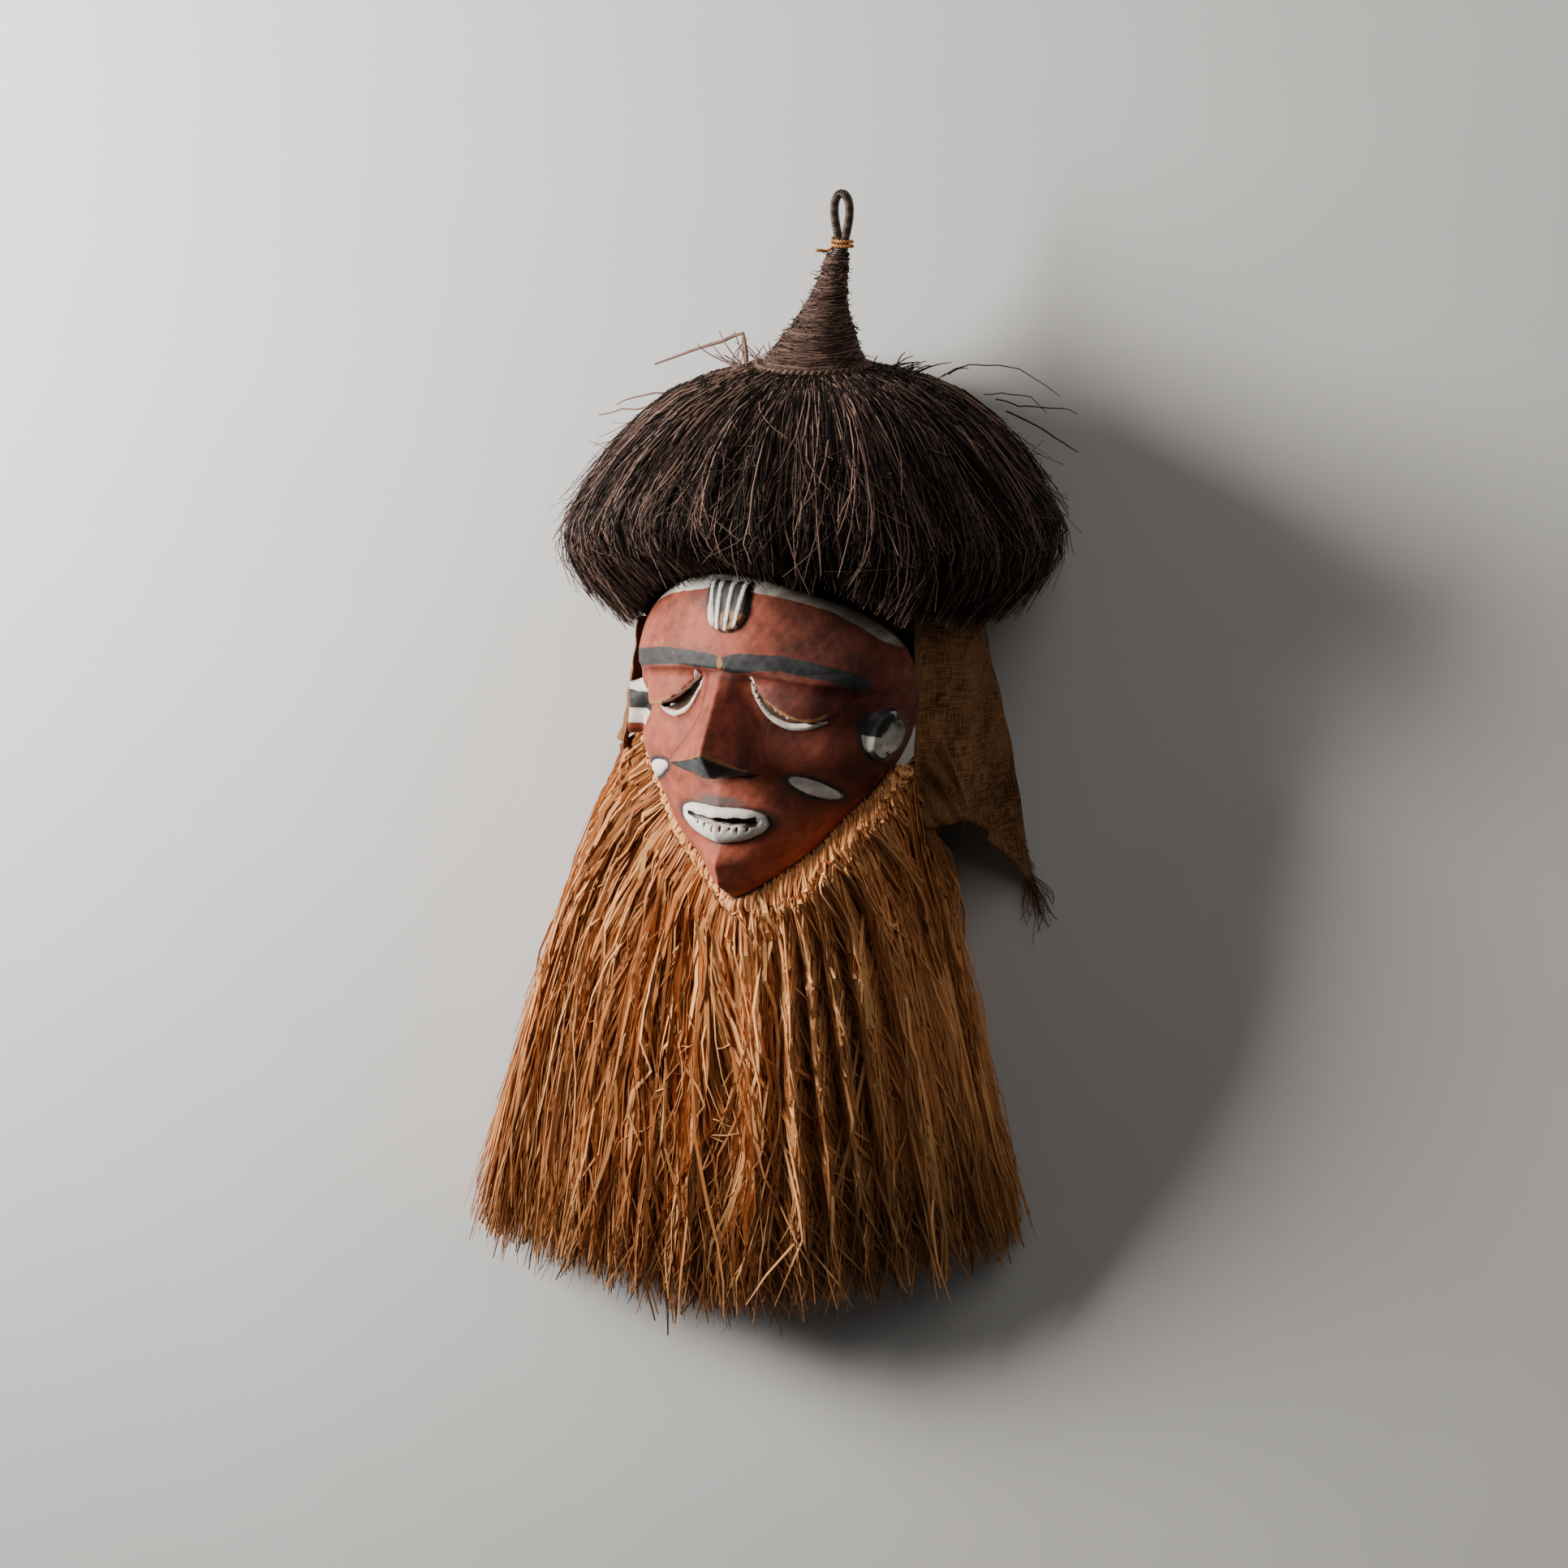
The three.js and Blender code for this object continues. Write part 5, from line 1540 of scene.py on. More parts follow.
class MASK_OT_hair(bpy.types.Operator):
    """Lay the fibre hair over the cap"""

    bl_idname = "mask.hair"
    bl_label = "Fibre hair"

    def execute(self, context):
        hair = context.scene.mask.hair
        look = fibre("dark plant fibre", *three_tones(hair), 0.66, 0.14)
        under = wound_fibre("matted dark fibre", (0.004, 0.003, 0.0025), *three_tones(hair)[:2], 500.0)
        settle(hair_mat(), ["hair_fringe"], under)
        rng = np.random.default_rng(11)
        inner, middle = int(hair.count * 0.34), int(hair.count * 0.33)
        # Name, points and number of the hairs, where they start and end, depth, lift, wander and shade
        groups = [
            ("hair_inner", 6, inner, between(0.5, 1.0), between(-0.05, 0.2), (-14, -9), (-3, 3), 0.08, 0.55),
            ("hair_middle", 7, middle, between(0.9, 1.0), either(0.7, (-0.07, 0.06), (0.05, 0.4)),
             (-9, -4), (-2, 6), 0.11, 0.15),
            ("hair_outer", 7, hair.count - inner - middle, either(0.75, (0.94, 1.0), (0.5, 0.9)),
             either(0.5, (-0.06, 0.08), (0.05, 0.6)), (-6, -1), (-3, 11), 0.09, 0.0),
        ]
        for name, steps, count, start, end, depth, lift, wander, shade in groups:
            paths, t = hair_strands(rng, count, steps, start, end, depth, lift, wander)
            tone = rng.random((count, 1)) ** 1.5
            tone = tone * (1 - 0.15 * t ** 2) + 0.07 * smooth(t, 0.5, 0.9)
            thick = hair.radius / MM * rng.uniform(0.65, 1.5, (count, 1)) * (1 - 0.55 * t ** 3)
            thick = thick * (0.7 + 0.3 * smooth(t, 0, 0.1))
            made = strands(name, above_floor(paths), thick, rng.uniform(0, 3, (count, 1)), look,
                           shades(tone, t, shade))
            settle(made)
        stray = 520
        paths, t = hair_strands(rng, stray, 7, between(0.3, 1.0), between(-0.04, 0.8), (-6, -1), (3, 17),
                                0.24)
        made = strands("hair_stray", above_floor(paths), hair.radius / MM * (1 - 0.6 * t),
                       rng.uniform(0, 3, (stray, 1)), look, shades(0.7 * rng.random((stray, 1)), t))
        settle(made)
        hair_tufts(rng, look)
        return {"FINISHED"}


def spire_centre(y):
    """How far the spire leans to the side at a height."""
    return SPIRE_LEAN * np.maximum(y - SPIRE_FOOT, 0) / (SPIRE_TOP - SPIRE_FOOT)


def spire_radius(y):
    up = clamp((y - SPIRE_FOOT) / (SPIRE_TOP - SPIRE_FOOT))
    return mix(SPIRE_BASE, SPIRE_NECK, np.sin(up * np.pi / 2) ** 0.85)


def around_axis(x, y, angle, radius):
    """Points round an upright line at x that lies as deep as the head's axis, in the mask frame."""
    points = x + radius * np.cos(angle), y, HEAD_AXIS_Z + radius * np.sin(angle)
    return np.stack(np.broadcast_arrays(*points), -1)


def around_spire(angle, y, radius, *floor):
    """Points round the spire's leaning axis, in the part frame."""
    return above_floor(from_mask(around_axis(spire_centre(y), y, angle, radius)), *floor)


def spire_fuzz(rng, look):
    """Short fibre ends that come loose from the winding."""
    each = (900, 1)
    t = np.linspace(0, 1, 5)[None, :]
    low = mix(SPIRE_FOOT - 2, SPIRE_TOP - 4, rng.random(each) ** 1.3)
    angle = rng.uniform(0, 2 * np.pi, each)
    sweep = rng.uniform(0.3, 1.5, each) * rng.choice([-1, 1], each)
    y = low + rng.normal(0, 2.6, each) * t
    lift = 1.9 + rng.uniform(0, 1.3, each) + np.maximum(rng.normal(0, 2.8, each), 0) * t ** 3
    paths = around_spire(angle + sweep * t, y, spire_radius(y) + lift)
    made = strands("spire_fuzz", paths, 0.55 * (1 - 0.5 * t), 0.0, look, shades(rng.random(each), t))
    settle(made)


def foot_braid(look):
    """A three-strand braid laid round the foot of the spire."""
    s = np.linspace(0, 2 * np.pi, 220, endpoint=False)
    plies = []
    for k in range(3):
        a = s * 17 + k * 2 * np.pi / 3
        plies.append(around_spire(s, SPIRE_FOOT - 0.5 + 1.6 * np.sin(2 * a), 39.5 + 2.2 * np.sin(a)))
    made = tubes_mesh("foot_braid", plies, 1.35, corners=4, closed=True, fields=shades([0.75, 0.6, 0.5]))
    settle(made, (), look)


def fibre_cap():
    """The fibre cap with its solid cone: one closed turned shell, cut away in front for the face."""
    heights = [-4.0, 20.0, 45.0, 70.0, 95.0, 110.0, 125.0, 140.0, 155.0, 168.0, 178.0, 186.0]

    def cap_radius(y):
        up = clamp((y - CAP_SHOULDER) / CAP_HEIGHT)
        return CAP_RADIUS * np.sqrt(1 - up * up)

    profile = [(0.5, 187.0)] + [(cap_radius(y + 4) - 4, y) for y in heights[::-1]]
    profile += [(cap_radius(y), y) for y in heights] + [(cap_radius(192.0), 192.0)]
    profile += [(spire_radius(y) - 0.4, y) for y in np.linspace(SPIRE_FOOT, SPIRE_TOP, 16)]
    profile = np.array(profile + [(0.5, SPIRE_TOP)])
    sides, total = 96, len(profile)
    angle = (2 * np.pi * np.arange(sides) / sides)[:, None]
    radius, y = profile[:, 0][None, :], profile[:, 1][None, :]
    faces = grid_faces(sides, total, wrap_rows=True).tolist()
    faces.append([k * total for k in range(sides)])
    faces.append([k * total + total - 1 for k in range(sides)][::-1])
    ridge = np.broadcast_to(0.5 + 0.5 * np.sin(y * 2.2), (sides, total))
    made = new_mesh("fibre_cap", around_spire(angle, y, radius, 0.5, 2.0), faces, {"ridge": ridge})
    corners = np.meshgrid((-140.0, 140.0), (-60.0, 62.0), (-99.0, 60.0), indexing="ij")
    block = new_mesh("face opening", from_mask(np.reshape(corners, (3, -1)).T),
                     [[0, 1, 3, 2], [4, 6, 7, 5], [0, 4, 5, 1], [2, 3, 7, 6], [0, 2, 6, 4], [1, 5, 7, 3]])
    cut(made, [block])
    return made


class MASK_OT_spire(bpy.types.Operator):
    """Wind the spire and make the cap that it closes"""

    bl_idname = "mask.spire"
    bl_label = "Cap and spire"

    def execute(self, context):
        spire = context.scene.mask.spire
        mid = tuple(spire.mid)
        look = fibre("wound grey-brown fibre", times(mid, 0.3), mid, times(mid, 2.2), 0.8, 0.12)
        under = wound_fibre("cap fibre", times(mid, 0.25), times(mid, 0.7), mid, 420.0)
        settle(fibre_cap(), ["spire_cap"], under)
        rng = np.random.default_rng(3)
        steps = spire.turns * 26
        s = np.linspace(0, 1, steps)
        wraps = []
        for layer in range(2):
            y = mix(SPIRE_FOOT - 1, SPIRE_TOP - 0.5, s ** 0.96)
            angle = s * spire.turns * 2 * np.pi * (1 if layer == 0 else -0.55) + layer * 2
            uneven = 0.8 * np.sin(angle * 0.37 + layer) + 0.6 * np.sin(angle * 1.71 + 1)
            uneven = uneven + rng.normal(0, 0.25, steps)
            radius = spire_radius(y) + 0.4 + layer * 1.3 + uneven * 0.9
            y = y + 0.9 * np.sin(angle * 0.13) + layer * 1.6 * np.sin(angle * 0.21 + 1)
            wraps.append(around_spire(angle, y + rng.normal(0, 0.15, steps), radius))
        tones = [0.35 + 0.3 * np.sin(np.arange(steps) * 0.05) + rng.normal(0, 0.06, steps) for _ in wraps]
        cord = spire.cord / MM
        made = tubes_mesh("spire_winding", wraps, [cord * 1.05, cord * 0.6], corners=5, fields=shades(tones))
        settle(made, (), look)
        foot_braid(look)
        spire_fuzz(rng, look)
        return {"FINISHED"}


def loop_path(steps):
    a = np.linspace(0, 2 * np.pi, steps, endpoint=False)
    x = LOOP_X + LOOP_HALF * np.sin(a) * (1 - LOOP_DRAWN * (1 - np.cos(a)))
    y = mix(LOOP_BOTTOM, LOOP_TOP, (1 + np.cos(a)) / 2)
    return np.stack([x, y, HEAD_AXIS_Z + 0 * a], -1)


def neck_wrap(look):
    """The wrapped neck that carries the loop down into the spire's tip."""
    turns, per_turn = 8, 14
    k = np.arange(turns * per_turn)
    y = mix(SPIRE_TOP - 5, LOOP_BOTTOM + 2.5, k / k[-1])
    angle = k / per_turn * 2 * np.pi
    up = smooth(y, SPIRE_TOP - 4, LOOP_BOTTOM + 2)
    path = around_axis(mix(SPIRE_LEAN - 1, LOOP_X, up), y, angle, mix(6.0, 4.2, up))
    made = tubes_mesh("neck_wrap", [from_mask(path)], 1.1, fields=shades([0.4 + 0.2 * np.sin(k * 0.2)]))
    settle(made, (), look)


def tie_cord(raffia):
    """The pale two-ply cord that is wound round the neck, with its two ends."""
    look = fibre("pale tie cord", *three_tones(raffia), 0.75, 0.25)
    per_turn, turns = 26, 2.2
    k = np.arange(int(per_turn * turns) + 1)
    ring = around_axis(LOOP_X, 284.4 + 3.3 * k / per_turn, math.radians(162) + 2 * np.pi * k / per_turn, 7.4)
    t = np.linspace(0.1, 1, 9)[:, None]
    tails = []
    for point, way, rise in ((ring[0], -1, -1.0), (ring[-1], 1, 1.0)):
        out = unit(point - np.array([LOOP_X, point[1], HEAD_AXIS_Z]))
        ahead = np.array([-out[2], 0, out[0]]) * way
        climb = np.array([0, rise, 0]) * (2.5 * t + 1.2 * np.sin(t * 5))
        tails.append(point + (ahead * 0.6 + out * 0.8) * t * 13 + climb)
    path = np.concatenate([tails[0][::-1], ring, tails[1]])
    reach = reach_along(path)
    fine = np.linspace(0, reach[-1], 260)
    centre, side, up = (path_at(line, reach, fine) for line in (path, *tube_frames(path)))
    plies, tones = [], []
    for k in range(2):
        turn = (fine / 4.2 * 2 * np.pi + k * np.pi)[:, None]
        plies.append(from_mask(centre + 0.62 * (side * np.cos(turn) + up * np.sin(turn))))
        tones.append(0.5 + 0.2 * np.sin(np.arange(260) * 0.3 + k))
    settle(tubes_mesh("tie_cord", plies, 0.78, fields=shades(tones)), ["loop_tie"], look)


class MASK_OT_loop(bpy.types.Operator):
    """Wrap the hanging loop and tie its neck"""

    bl_idname = "mask.loop"
    bl_label = "Hanging loop and tie"

    def execute(self, context):
        look = fibre("dark wrapped cord", (0.008, 0.005, 0.0035), (0.03, 0.018, 0.012), (0.09, 0.055, 0.035),
                     0.38, 0.5)
        core = loop_path(96)
        made = tubes_mesh("loop_core", [from_mask(core)], 2.3, corners=12, closed=True,
                          fields=shades([0.3], deep=0.2))
        settle(made, ["hanging_loop"], look)
        core = np.concatenate([core, core[:1]])
        reach = reach_along(core)
        per_turn = 10
        steps = int(reach[-1] / 1.35) * per_turn
        centre = path_at(core, reach, np.linspace(0, reach[-1], steps, endpoint=False))
        ahead = unit(np.roll(centre, -1, 0) - np.roll(centre, 1, 0))
        side = unit(np.cross(ahead, np.array([0, 0, 1.0])))
        turn = np.arange(steps) / per_turn * 2 * np.pi
        wrap = centre + side * (2.55 * np.cos(turn))[:, None] + np.array([0, 0, 3.0]) * np.sin(turn)[:, None]
        made = tubes_mesh("loop_wrap", [from_mask(wrap)], 0.78, corners=5, closed=True,
                          fields=shades([0.45 + 0.3 * np.sin(np.arange(steps) * 0.11)]))
        settle(made, (), look)
        neck_wrap(look)
        tie_cord(context.scene.mask.raffia)
        return {"FINISHED"}


def collar_knots(rng, knots, look):
    """Knots of five plies round the band, with two strands that lead on to the next."""
    paths, radii, tones = [], [], []
    for k in range(knots):
        mid = (k + 0.5 + rng.normal(0, 0.1)) / knots
        size = rng.uniform(0.95, 1.45)
        t = np.linspace(0, 1, 10)
        for ply in range(5):
            lean = rng.uniform(-0.7, 0.7) / knots
            at = mid + (ply - 2) * 0.12 * size / knots + lean * (t - 0.5)
            angle = mix(-2.6, 2.6, t) + rng.uniform(-0.5, 0.5) + 0.9
            radius = 4.3 * size + rng.uniform(-0.6, 1.0) + 1.0 * np.sin(t * np.pi)
            paths.append(round_collar(clamp(at), radius, angle))
            radii.append(rng.uniform(1.1, 1.9))
            tones.append(rng.uniform(0.45, 1.0))
        t = np.linspace(0, 1, 9)
        for _ in range(2):
            at = mid + mix(-0.46, 0.4, t) / knots
            angle = 0.9 + rng.uniform(-0.9, 0.9) + rng.uniform(-1.6, 1.6) * (t - 0.5)
            paths.append(round_collar(clamp(at), 5.0 * size + 1.6 * np.sin(t * np.pi), angle))
            radii.append(rng.uniform(1.0, 1.7))
            tones.append(rng.uniform(0.4, 1.0))
    made = tubes_mesh("collar_knots", paths, radii, corners=4, flat=0.7, fields=shades(tones))
    settle(made, (), look)


def lacing_vine(u):
    """The two dark strands that lace the band to the jaw."""
    look = fibre("dark lacing vine", (0.018, 0.009, 0.005), (0.07, 0.035, 0.018), (0.17, 0.09, 0.045),
                 0.6, 0.3)
    cords = []
    for k, (out, rise, phase) in enumerate(((1.9, 2.4, 0), (3.6, 0.6, 2))):
        wave = np.sin(u * 46 + phase) + 0.6 * np.sin(u * 113 + phase)
        cords.append(from_mask(beside_rim(u, out + 0.5 * wave, rise + 0.6 * np.cos(u * 71 + k))))
    made = tubes_mesh("lacing_vine", cords, [1.35, 1.1], fields=shades([0.6, 0.4]))
    settle(made, (), look)


class MASK_OT_collar(bpy.types.Operator):
    """Knot the raffia band along the jaw"""

    bl_idname = "mask.collar"
    bl_label = "Knotted collar"

    def execute(self, context):
        raffia = context.scene.mask.raffia
        look = fibre("knotted raffia", *three_tones(raffia), 0.7, 0.3)
        rng = np.random.default_rng(8)
        u = np.linspace(0, 1, 200)
        band = [round_collar(u, 2.6, 2 * np.pi * k / 5 + u * 30) for k in range(5)]
        made = tubes_mesh("collar_band", band, 1.9, fields=shades(list(rng.uniform(0.3, 0.7, 5)), deep=0.25))
        settle(made, ["raffia_collar"], look)
        collar_knots(rng, raffia.knots, look)
        lacing_vine(u)
        return {"FINISHED"}


def hang_strips(name, paths, width, turn, look, fields, flat=0.25):
    """Gives the strips their bodies."""
    made = strands(name, paths, width, turn, look, fields, flat=flat, creased=True)
    settle(made)


def beard_mat(place):
    """The mass under the strips: ridged on top and flat on the floor."""
    columns, rows = 140, 28
    u = np.linspace(0.012, 0.988, columns)[None, :]
    v = np.linspace(0.0, 0.93, rows)[:, None]
    ridge = np.random.default_rng(4).random((1, columns))
    off = -13.0 + 4.0 * (ridge - 0.5) * smooth(v, 0, 0.2)
    off = off + 3.0 * np.sin(u * 2 * np.pi * 18) * np.sin(np.pi * clamp(v * 0.9 + 0.05))
    top = place(u, v, off * smooth(v, -0.05, 0.08))
    top[..., 2] = np.maximum(top[..., 2], 1.6)
    low = top.copy()
    low[..., 2] = np.maximum(0.6, top[..., 2] - 9 - 900 * v)
    low[0] = top[0] - np.array([0, 0, 5.0])
    low[..., 2] = np.minimum(low[..., 2], top[..., 2] - 0.8)
    return two_sided("beard_mat", top, low, "ridge", np.broadcast_to(ridge, (rows, columns)))


def beard_ends(place, even, rng, half, look):
    """The lower strips, whose ends show at the foot and the sides of the mass."""
    count, steps = 650, 7
    each, t = (count, 1), np.linspace(0, 1, steps)[None, :]
    share = rng.random(each) + rng.normal(0, 0.012, each) * t + rng.normal(0, 0.002, (count, steps))
    v = mix(rng.uniform(0.6, 0.85, each), rng.normal(0.97, 0.04, each), t)
    paths = place(clamp(even(share), 0.004, 0.996), v, -6.0)
    paths[..., 2] = np.maximum(paths[..., 2] * rng.random(each), 2.6 + 3 * rng.random(each))
    width = half * rng.uniform(0.6, 1.3, each) * (1 - 0.6 * smooth(t, 0.75, 1.0))
    turn = rng.uniform(-1.5, 1.5, each) + 1.2 * t
    hang_strips("beard_ends", paths, width, turn, look, shades(rng.random(each), t, 0.3), 0.2)


def beard_loose(place, even, rng, half, look):
    """Strips that stand off the mass: at its two edges, over its foot and across the collar."""
    count, steps = 260, 9
    each, t = (count, 1), np.linspace(0, 1, steps)[None, :]
    where = rng.random(each)
    edge = np.where(where < 0.35, 0.01 + 0.04 * rng.random(each), rng.random(each))
    edge = np.where(where > 0.65, 0.99 - 0.05 * rng.random(each), edge)
    share = edge + rng.normal(0, 0.05, each) * t + rng.normal(0, 0.012, each) * np.sin(t * 9)
    v = mix(rng.uniform(0.0, 0.6, each), rng.uniform(0.45, 1.06, each), t)
    off = 3 + rng.uniform(2, 14, each) * t ** 1.6 + rng.normal(0, 2.2, each) * np.sin(t * 7)
    paths = place(clamp(even(share), 0.003, 0.997), v, off)
    paths[..., 2] = np.maximum(paths[..., 2], 2.0 + 3 * rng.random(each))
    width = half * rng.uniform(0.35, 0.9, each) * (1 - 0.6 * smooth(t, 0.75, 1.0))
    turn = rng.normal(0, 1.2, each) + 2 * t
    hang_strips("beard_loose", paths, width, turn, look, shades(0.3 + 0.7 * rng.random(each), t))


def beard_sides(place, rng, half, look):
    """Strips that fan from the collar's two ends down over the flanks of the mass."""
    count, steps = 440, 8
    each, t = (count, 1), np.linspace(0, 1, steps)[None, :]
    right = (np.arange(count) % 2)[:, None]
    inward = 0.09 * rng.random(each) ** 1.5
    edge = mix(0.006 + inward, 0.994 - inward, right)
    fan = rng.random(each) ** 0.8
    start, end = 0.22 * fan * rng.random(each), 0.04 + 0.9 * fan
    top, foot = place(edge, start, 0.0), place(edge, end, 0.0)
    foot[..., 2] = foot[..., 2] * rng.random(each) ** 1.5
    inner = place(mix(0.1, 0.9, right), start + 0.1, 0.0)
    out = unit((top - inner) * np.array([1.0, 1.0, 0.0])) * rng.uniform(0.5, 4.0, (count, 1, 1))
    paths = mix(top, foot, t[..., None] ** np.array([0.9, 0.9, 1.2])) + out
    paths = paths + rng.normal(0, 2.6, (count, steps, 3)) * smooth(t, 0, 0.3)[..., None]
    paths[..., 2] = np.maximum(paths[..., 2], 2.2 + rng.random(each))
    width = half * rng.uniform(0.6, 1.5, each) * (1 - 0.5 * smooth(t, 0.8, 1))
    turn = rng.normal(1.5, 0.7, each)
    fields = shades(rng.random(each), t, 0.5 * rng.random(each))
    hang_strips("beard_sides", paths, width, turn, look, fields)


def beard_inside(rng, half, look):
    """Strips that hang behind the collar, on the side of the neck."""
    count, steps = 430, 7
    each, t = (count, 1), np.linspace(0, 1, steps)[None, :]
    u = (np.arange(count)[:, None] + rng.random(each)) / count
    top = from_mask(beside_rim(u, COLLAR_OUT + rng.uniform(-3, 3, each), -3.0))
    foot = from_mask(beside_rim(clamp(u + rng.normal(0, 0.03, each) * t), COLLAR_OUT + 4.0, -3.0))
    foot[..., 2] = 3.2 + 2 * rng.random(each)
    stray = rng.normal(0, 1.3, (count, steps, 3)) * smooth(t, 0, 0.3)[..., None]
    paths = mix(top, foot, t[..., None]) + stray
    paths[..., 2] = np.maximum(paths[..., 2], 3.0)
    width = half * rng.uniform(0.9, 1.7, each)
    turn = rng.normal(0, 1.0, each)
    hang_strips("beard_inside", paths, width, turn, look, shades(rng.random(each), t, 0.25))


class MASK_OT_beard(bpy.types.Operator):
    """Hang the raffia strips from the collar"""

    bl_idname = "mask.beard"
    bl_label = "Raffia beard"

    def execute(self, context):
        raffia = context.scene.mask.raffia
        look = fibre("raffia strip", *three_tones(raffia), 0.6, 0.18, tip=(0.3, 0.14, 0.05), streak=1100.0)
        under = wound_fibre("raffia in shade", times(raffia.dark, 0.3), tuple(raffia.dark),
                            times(raffia.mid, 0.6), 380.0)
        place = beard_surface()
        settle(beard_mat(place), ["raffia_beard"], under)
        rng = np.random.default_rng(21)
        even = even_round(place)
        half = raffia.width / MM
        # Name, share of the strips, points on each, layer, drift, share of wild ones, shade and locks
        groups = [
            ("beard_deep", 0.3, 7, (-14, -7), 0.02, 0.05, 0.85, 150),
            ("beard_middle", 0.34, 10, (-9, -1), 0.03, 0.1, 0.36, 130),
            ("beard_top", 0.36, 13, (-5, 4), 0.05, 0.24, 0.0, 120),
        ]
        for name, part, steps, layer, drift, wild, deep, locks in groups:
            count = int(raffia.count * part)
            each = (count, 1)
            paths, t, share = raffia_paths(rng, place, even, count, steps, raffia.knots, locks, layer, drift,
                                           wild)
            paths[..., 2] = np.maximum(paths[..., 2], 2.4 + rng.random(each) * 2)
            width = half * (0.45 + 1.25 * rng.random(each) ** 1.7) * (1 - 0.65 * smooth(t, 0.8, 1.0))
            width = width * (0.55 + 0.45 * smooth(t, 0, 0.12)) * (1 + 0.15 * rng.normal(0, 1, t.shape))
            turn = rng.normal(0, 0.6, each) + rng.normal(0, 1.3, each) * t
            turn = turn + 0.85 * smooth(share, 0.5, 0.7) * (1 - 0.5 * smooth(t, 0.4, 0.75))
            # Painted light: strips towards the right get a lighter tone, where the face's shadow falls on the
            # beard.
            tone = rng.random(each) + 0.45 * smooth(share, 0.3, 0.75) + 0.2 * smooth(share, 0.55, 0.7) - 0.14
            # Painted shade: lower layers are darker, and so are the low ends of the strips left of the
            # middle.
            shade = deep * (1 - 0.25 * t) + 0.28 * smooth(t, 0.6, 0.9) * smooth(share, 0.28, 0.45)
            hang_strips(name, paths, width, turn, look, shades(clamp(tone), t, shade), 0.2)
        beard_sides(place, rng, half, look)
        beard_ends(place, even, rng, half, look)
        beard_loose(place, even, rng, half, look)
        beard_inside(rng, half, look)
        return {"FINISHED"}


def turned_corner(look):
    """The corner of the right flap, turned up against the collar."""
    a, b = np.meshgrid(np.linspace(0, 1, 22), np.linspace(0, 1, 22))
    a3, b3 = a[..., None], b[..., None]
    p = np.array(TURNED_CORNER, float)
    middle = p[0] * (1 - a3) * (1 - b3) + p[3] * a3 * (1 - b3) + p[1] * (1 - a3) * b3 + p[2] * a3 * b3
    fold = 3.5 * np.sin(a * 7 + b * 3) * b + 1.2 * np.sin(b * 17 + a * 5) - 4 * np.sin(np.pi * a)
    middle = from_bridge(middle + np.array([0.2, 0.2, 1.0]) * fold[..., None])
    out = unit(np.cross(np.gradient(middle, axis=1), np.gradient(middle, axis=0))) * 0.5
    # Painted light: the whole corner is lightened, and more along its torn edges.
    fray_and_painted_light = 0.85 + 0.4 * np.maximum(smooth(b, 0.85, 1.0), 1 - smooth(a, 0.0, 0.12))
    made = two_sided("turned_corner", middle + out, middle - out, "edge", fray_and_painted_light)
    lay_flat(made, b * 0.05, a * 0.06)
    return settle(made, (), look)


def hem_threads(cloth, middle):
    """Loose threads along the hem, longest at the flap's tip."""
    rng = np.random.default_rng(14)
    rows, columns = middle.shape[:2]
    t = np.linspace(0, 1, 7)
    paths = []
    for _ in range(150):
        near_tip = rng.random() < 0.3
        share = rng.normal(0.22, 0.008) if near_tip else rng.uniform(0.0, 0.27)
        at = int(np.clip(share, 0, 1) * (columns - 1))
        root = middle[rows - 2, at]
        down = unit(middle[rows - 1, at] - middle[rows - 4, at])
        length = rng.uniform(8, 34) if near_tip else rng.uniform(2, 8)
        stray = np.array([rng.normal(0.25, 0.35), rng.normal(-0.2, 0.3), rng.normal(0, 0.15)])
        line = root + (down + stray) * (length * t)[:, None]
        line = line + rng.normal(0, 0.12 * length, 3) * np.sin(t * 3.5)[:, None]
        line[:, 2] = np.maximum(line[:, 2], 0.9)
        paths.append(line)
    look = fibre("cloth thread", times(cloth.dark, 1.5), times(cloth.light, 0.5), tuple(cloth.light),
                 0.9, 0.1)
    made = strands("hem_threads", np.array(paths), 0.36 - 0.15 * t, 0.0, look,
                   shades(rng.random((len(paths), 1)) * 0.7, t))
    return settle(made)


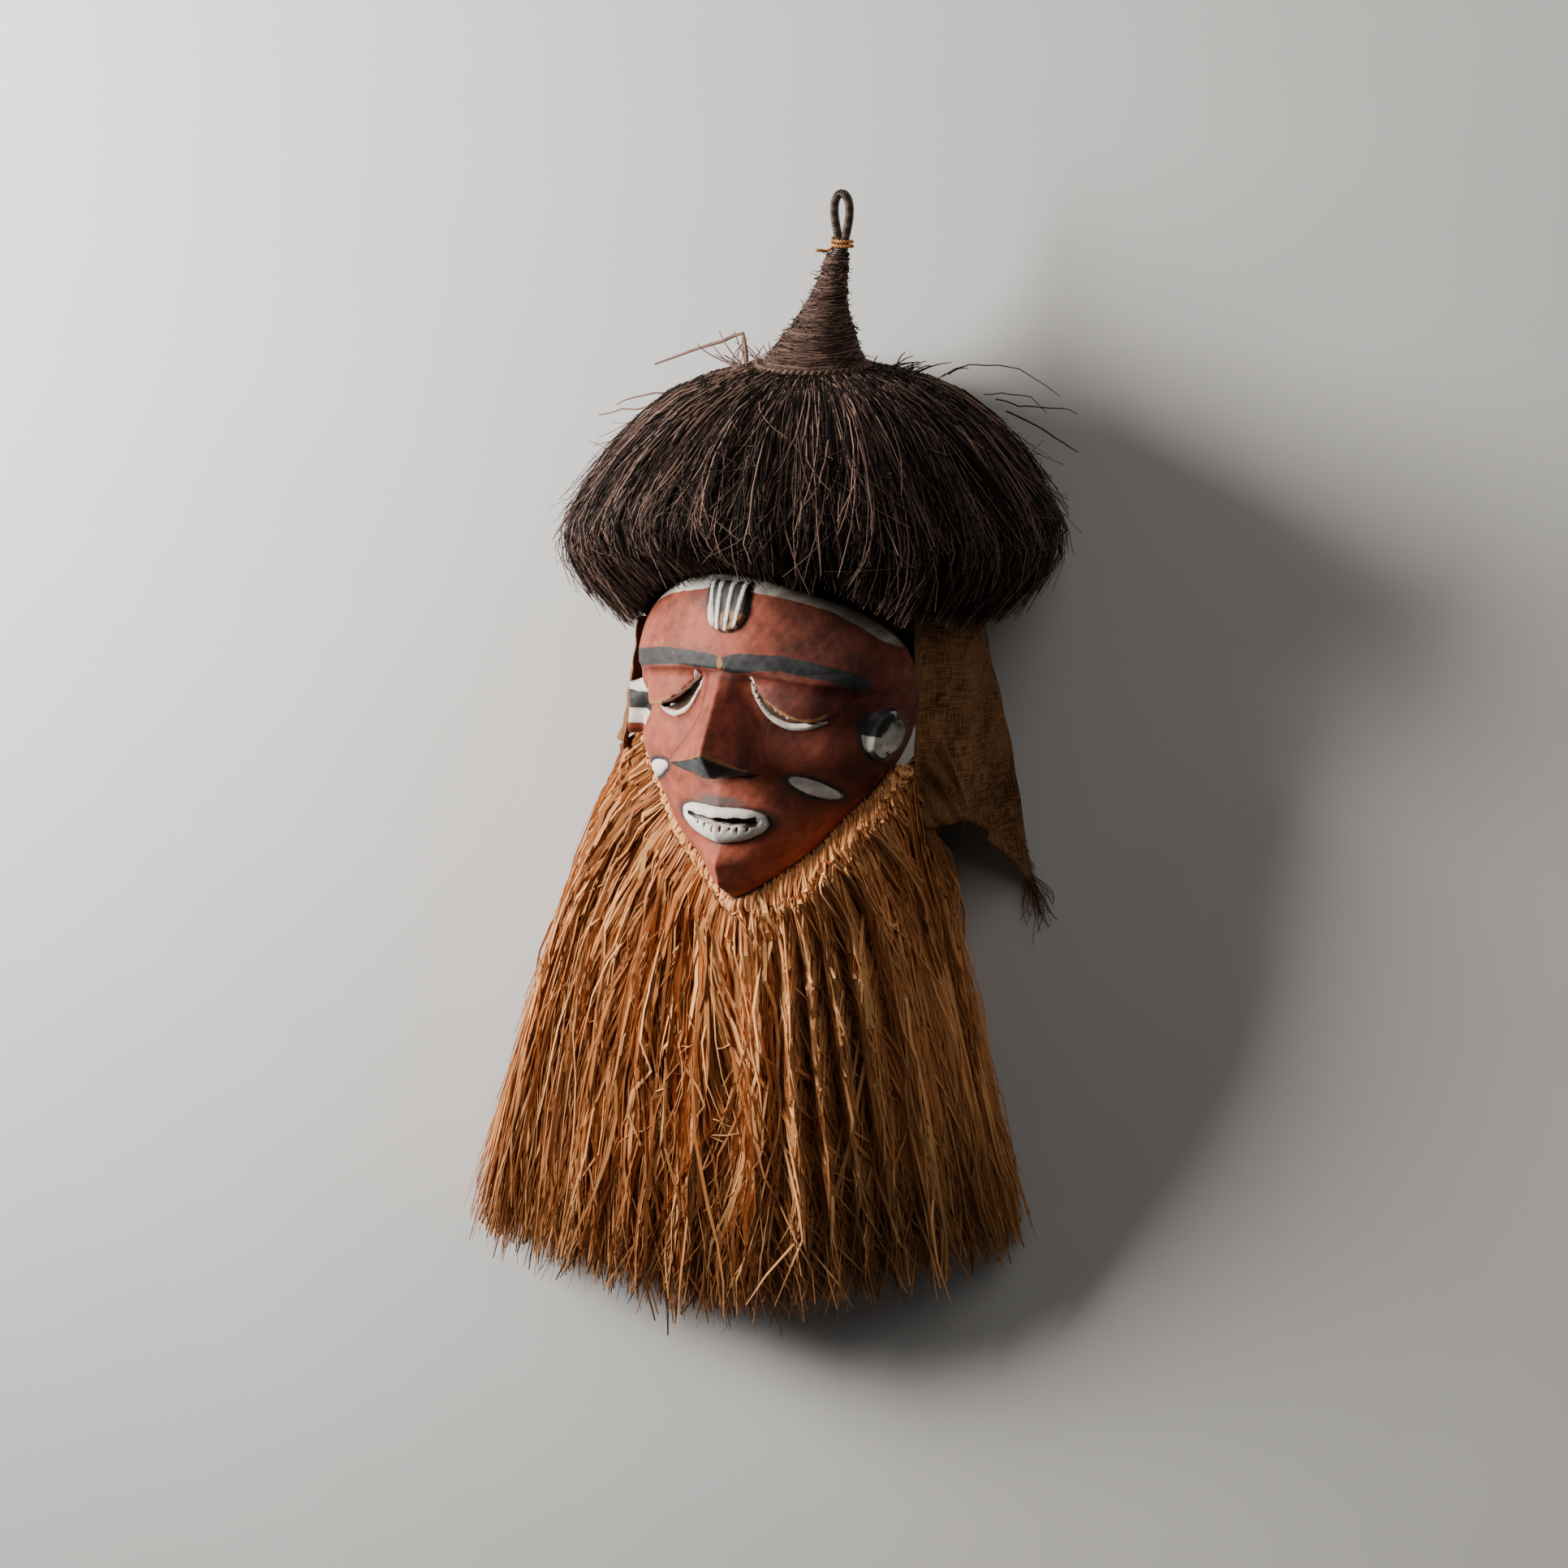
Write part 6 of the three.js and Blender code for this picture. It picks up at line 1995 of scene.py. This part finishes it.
class MASK_OT_cloth(bpy.types.Operator):
    """Hang the woven hood cloth"""

    bl_idname = "mask.cloth"
    bl_label = "Hood cloth"

    def execute(self, context):
        cloth = context.scene.mask.cloth
        look = woven(cloth)
        columns, rows = 270, 46
        s, v = np.meshgrid(np.linspace(0, 1, columns), np.linspace(0, 1, rows))
        middle = cloth_point(s, v)
        along = cloth_point(clamp(s + 0.005), v) - cloth_point(clamp(s - 0.005), v)
        out = unit(np.stack([-along[..., 2], 0 * s, along[..., 0]], -1))
        lifted = smooth(middle[..., 2], 10, 40)
        fold = 5.0 * v * lifted * np.sin(s * 60 + 1.5 * v) + 1.6 * lifted * np.sin(s * 143 + 3 * v) * v
        fold = fold + 1.2 * lifted * v * np.sin(v * 13 + s * 40) + 0.5 * lifted * np.sin(v * 31 - s * 90)
        middle = middle + out * fold[..., None]
        half = cloth.thickness / MM / 2
        middle[..., 2] = np.maximum(middle[..., 2], half + 0.4)
        middle = from_bridge(middle)
        # Lighter threads from fraying at the hem and the right edge, and painted light over the left strip (s
        # past 0.88).
        fray_and_painted_light = np.max([smooth(v, 0.93, 1.0), 1.3 * smooth(s, 0.88, 0.94), 1 - smooth(s, 0, 0.02)], axis=0)
        made = two_sided("hood_cloth_sheet", middle + out * half, middle - out * half, "edge", fray_and_painted_light)
        width = np.linalg.norm(np.diff(middle[rows // 2], axis=0), axis=1).sum() * MM
        drop = np.linalg.norm(np.diff(middle, axis=0), axis=2).sum(0) * MM
        lay_flat(made, s * width, v * drop)
        diagonals = np.cross(middle[1:, 1:] - middle[:-1, :-1], middle[1:, :-1] - middle[:-1, 1:])
        settle(made, ["hood_cloth"], look)
        pieces = [turned_corner(look), hem_threads(cloth, middle)]
        return {"FINISHED"}


class MASK_PT_panel(bpy.types.Panel):
    """Lists the pieces of the mask"""

    bl_idname = "MASK_PT_panel"
    bl_label = "Mask"
    bl_space_type = "VIEW_3D"
    bl_region_type = "UI"
    bl_category = "Mask"

    def draw(self, context):
        for group, operators in PANEL_ROWS:
            box = self.layout.box()
            settings = getattr(context.scene.mask, group)
            for key in settings.__annotations__:
                box.prop(settings, key)
            for operator in operators:
                box.operator(operator.bl_idname)


PANEL_ROWS = [
    ("stage", [MASK_OT_stage]),
    ("paint", [MASK_OT_face]),
    ("hair", [MASK_OT_hair]),
    ("spire", [MASK_OT_spire, MASK_OT_loop]),
    ("raffia", [MASK_OT_collar, MASK_OT_beard]),
    ("cloth", [MASK_OT_cloth]),
]
CLASSES = [
    PaintSettings, HairSettings, SpireSettings, RaffiaSettings, ClothSettings, StageSettings, MaskSettings,
    MASK_OT_stage, MASK_OT_face, MASK_OT_hair, MASK_OT_spire, MASK_OT_loop, MASK_OT_collar, MASK_OT_beard,
    MASK_OT_cloth, MASK_PT_panel,
]


def register():
    for cls in CLASSES:
        bpy.utils.register_class(cls)
    bpy.types.Scene.mask = PointerProperty(type=MaskSettings)


def unregister():
    del bpy.types.Scene.mask
    for cls in reversed(CLASSES):
        bpy.utils.unregister_class(cls)


def main():
    register()
    for _, operators in PANEL_ROWS:
        for operator in operators:
            group, name = operator.bl_idname.split(".")
            getattr(getattr(bpy.ops, group), name)()


if __name__ == "__main__":
    main()
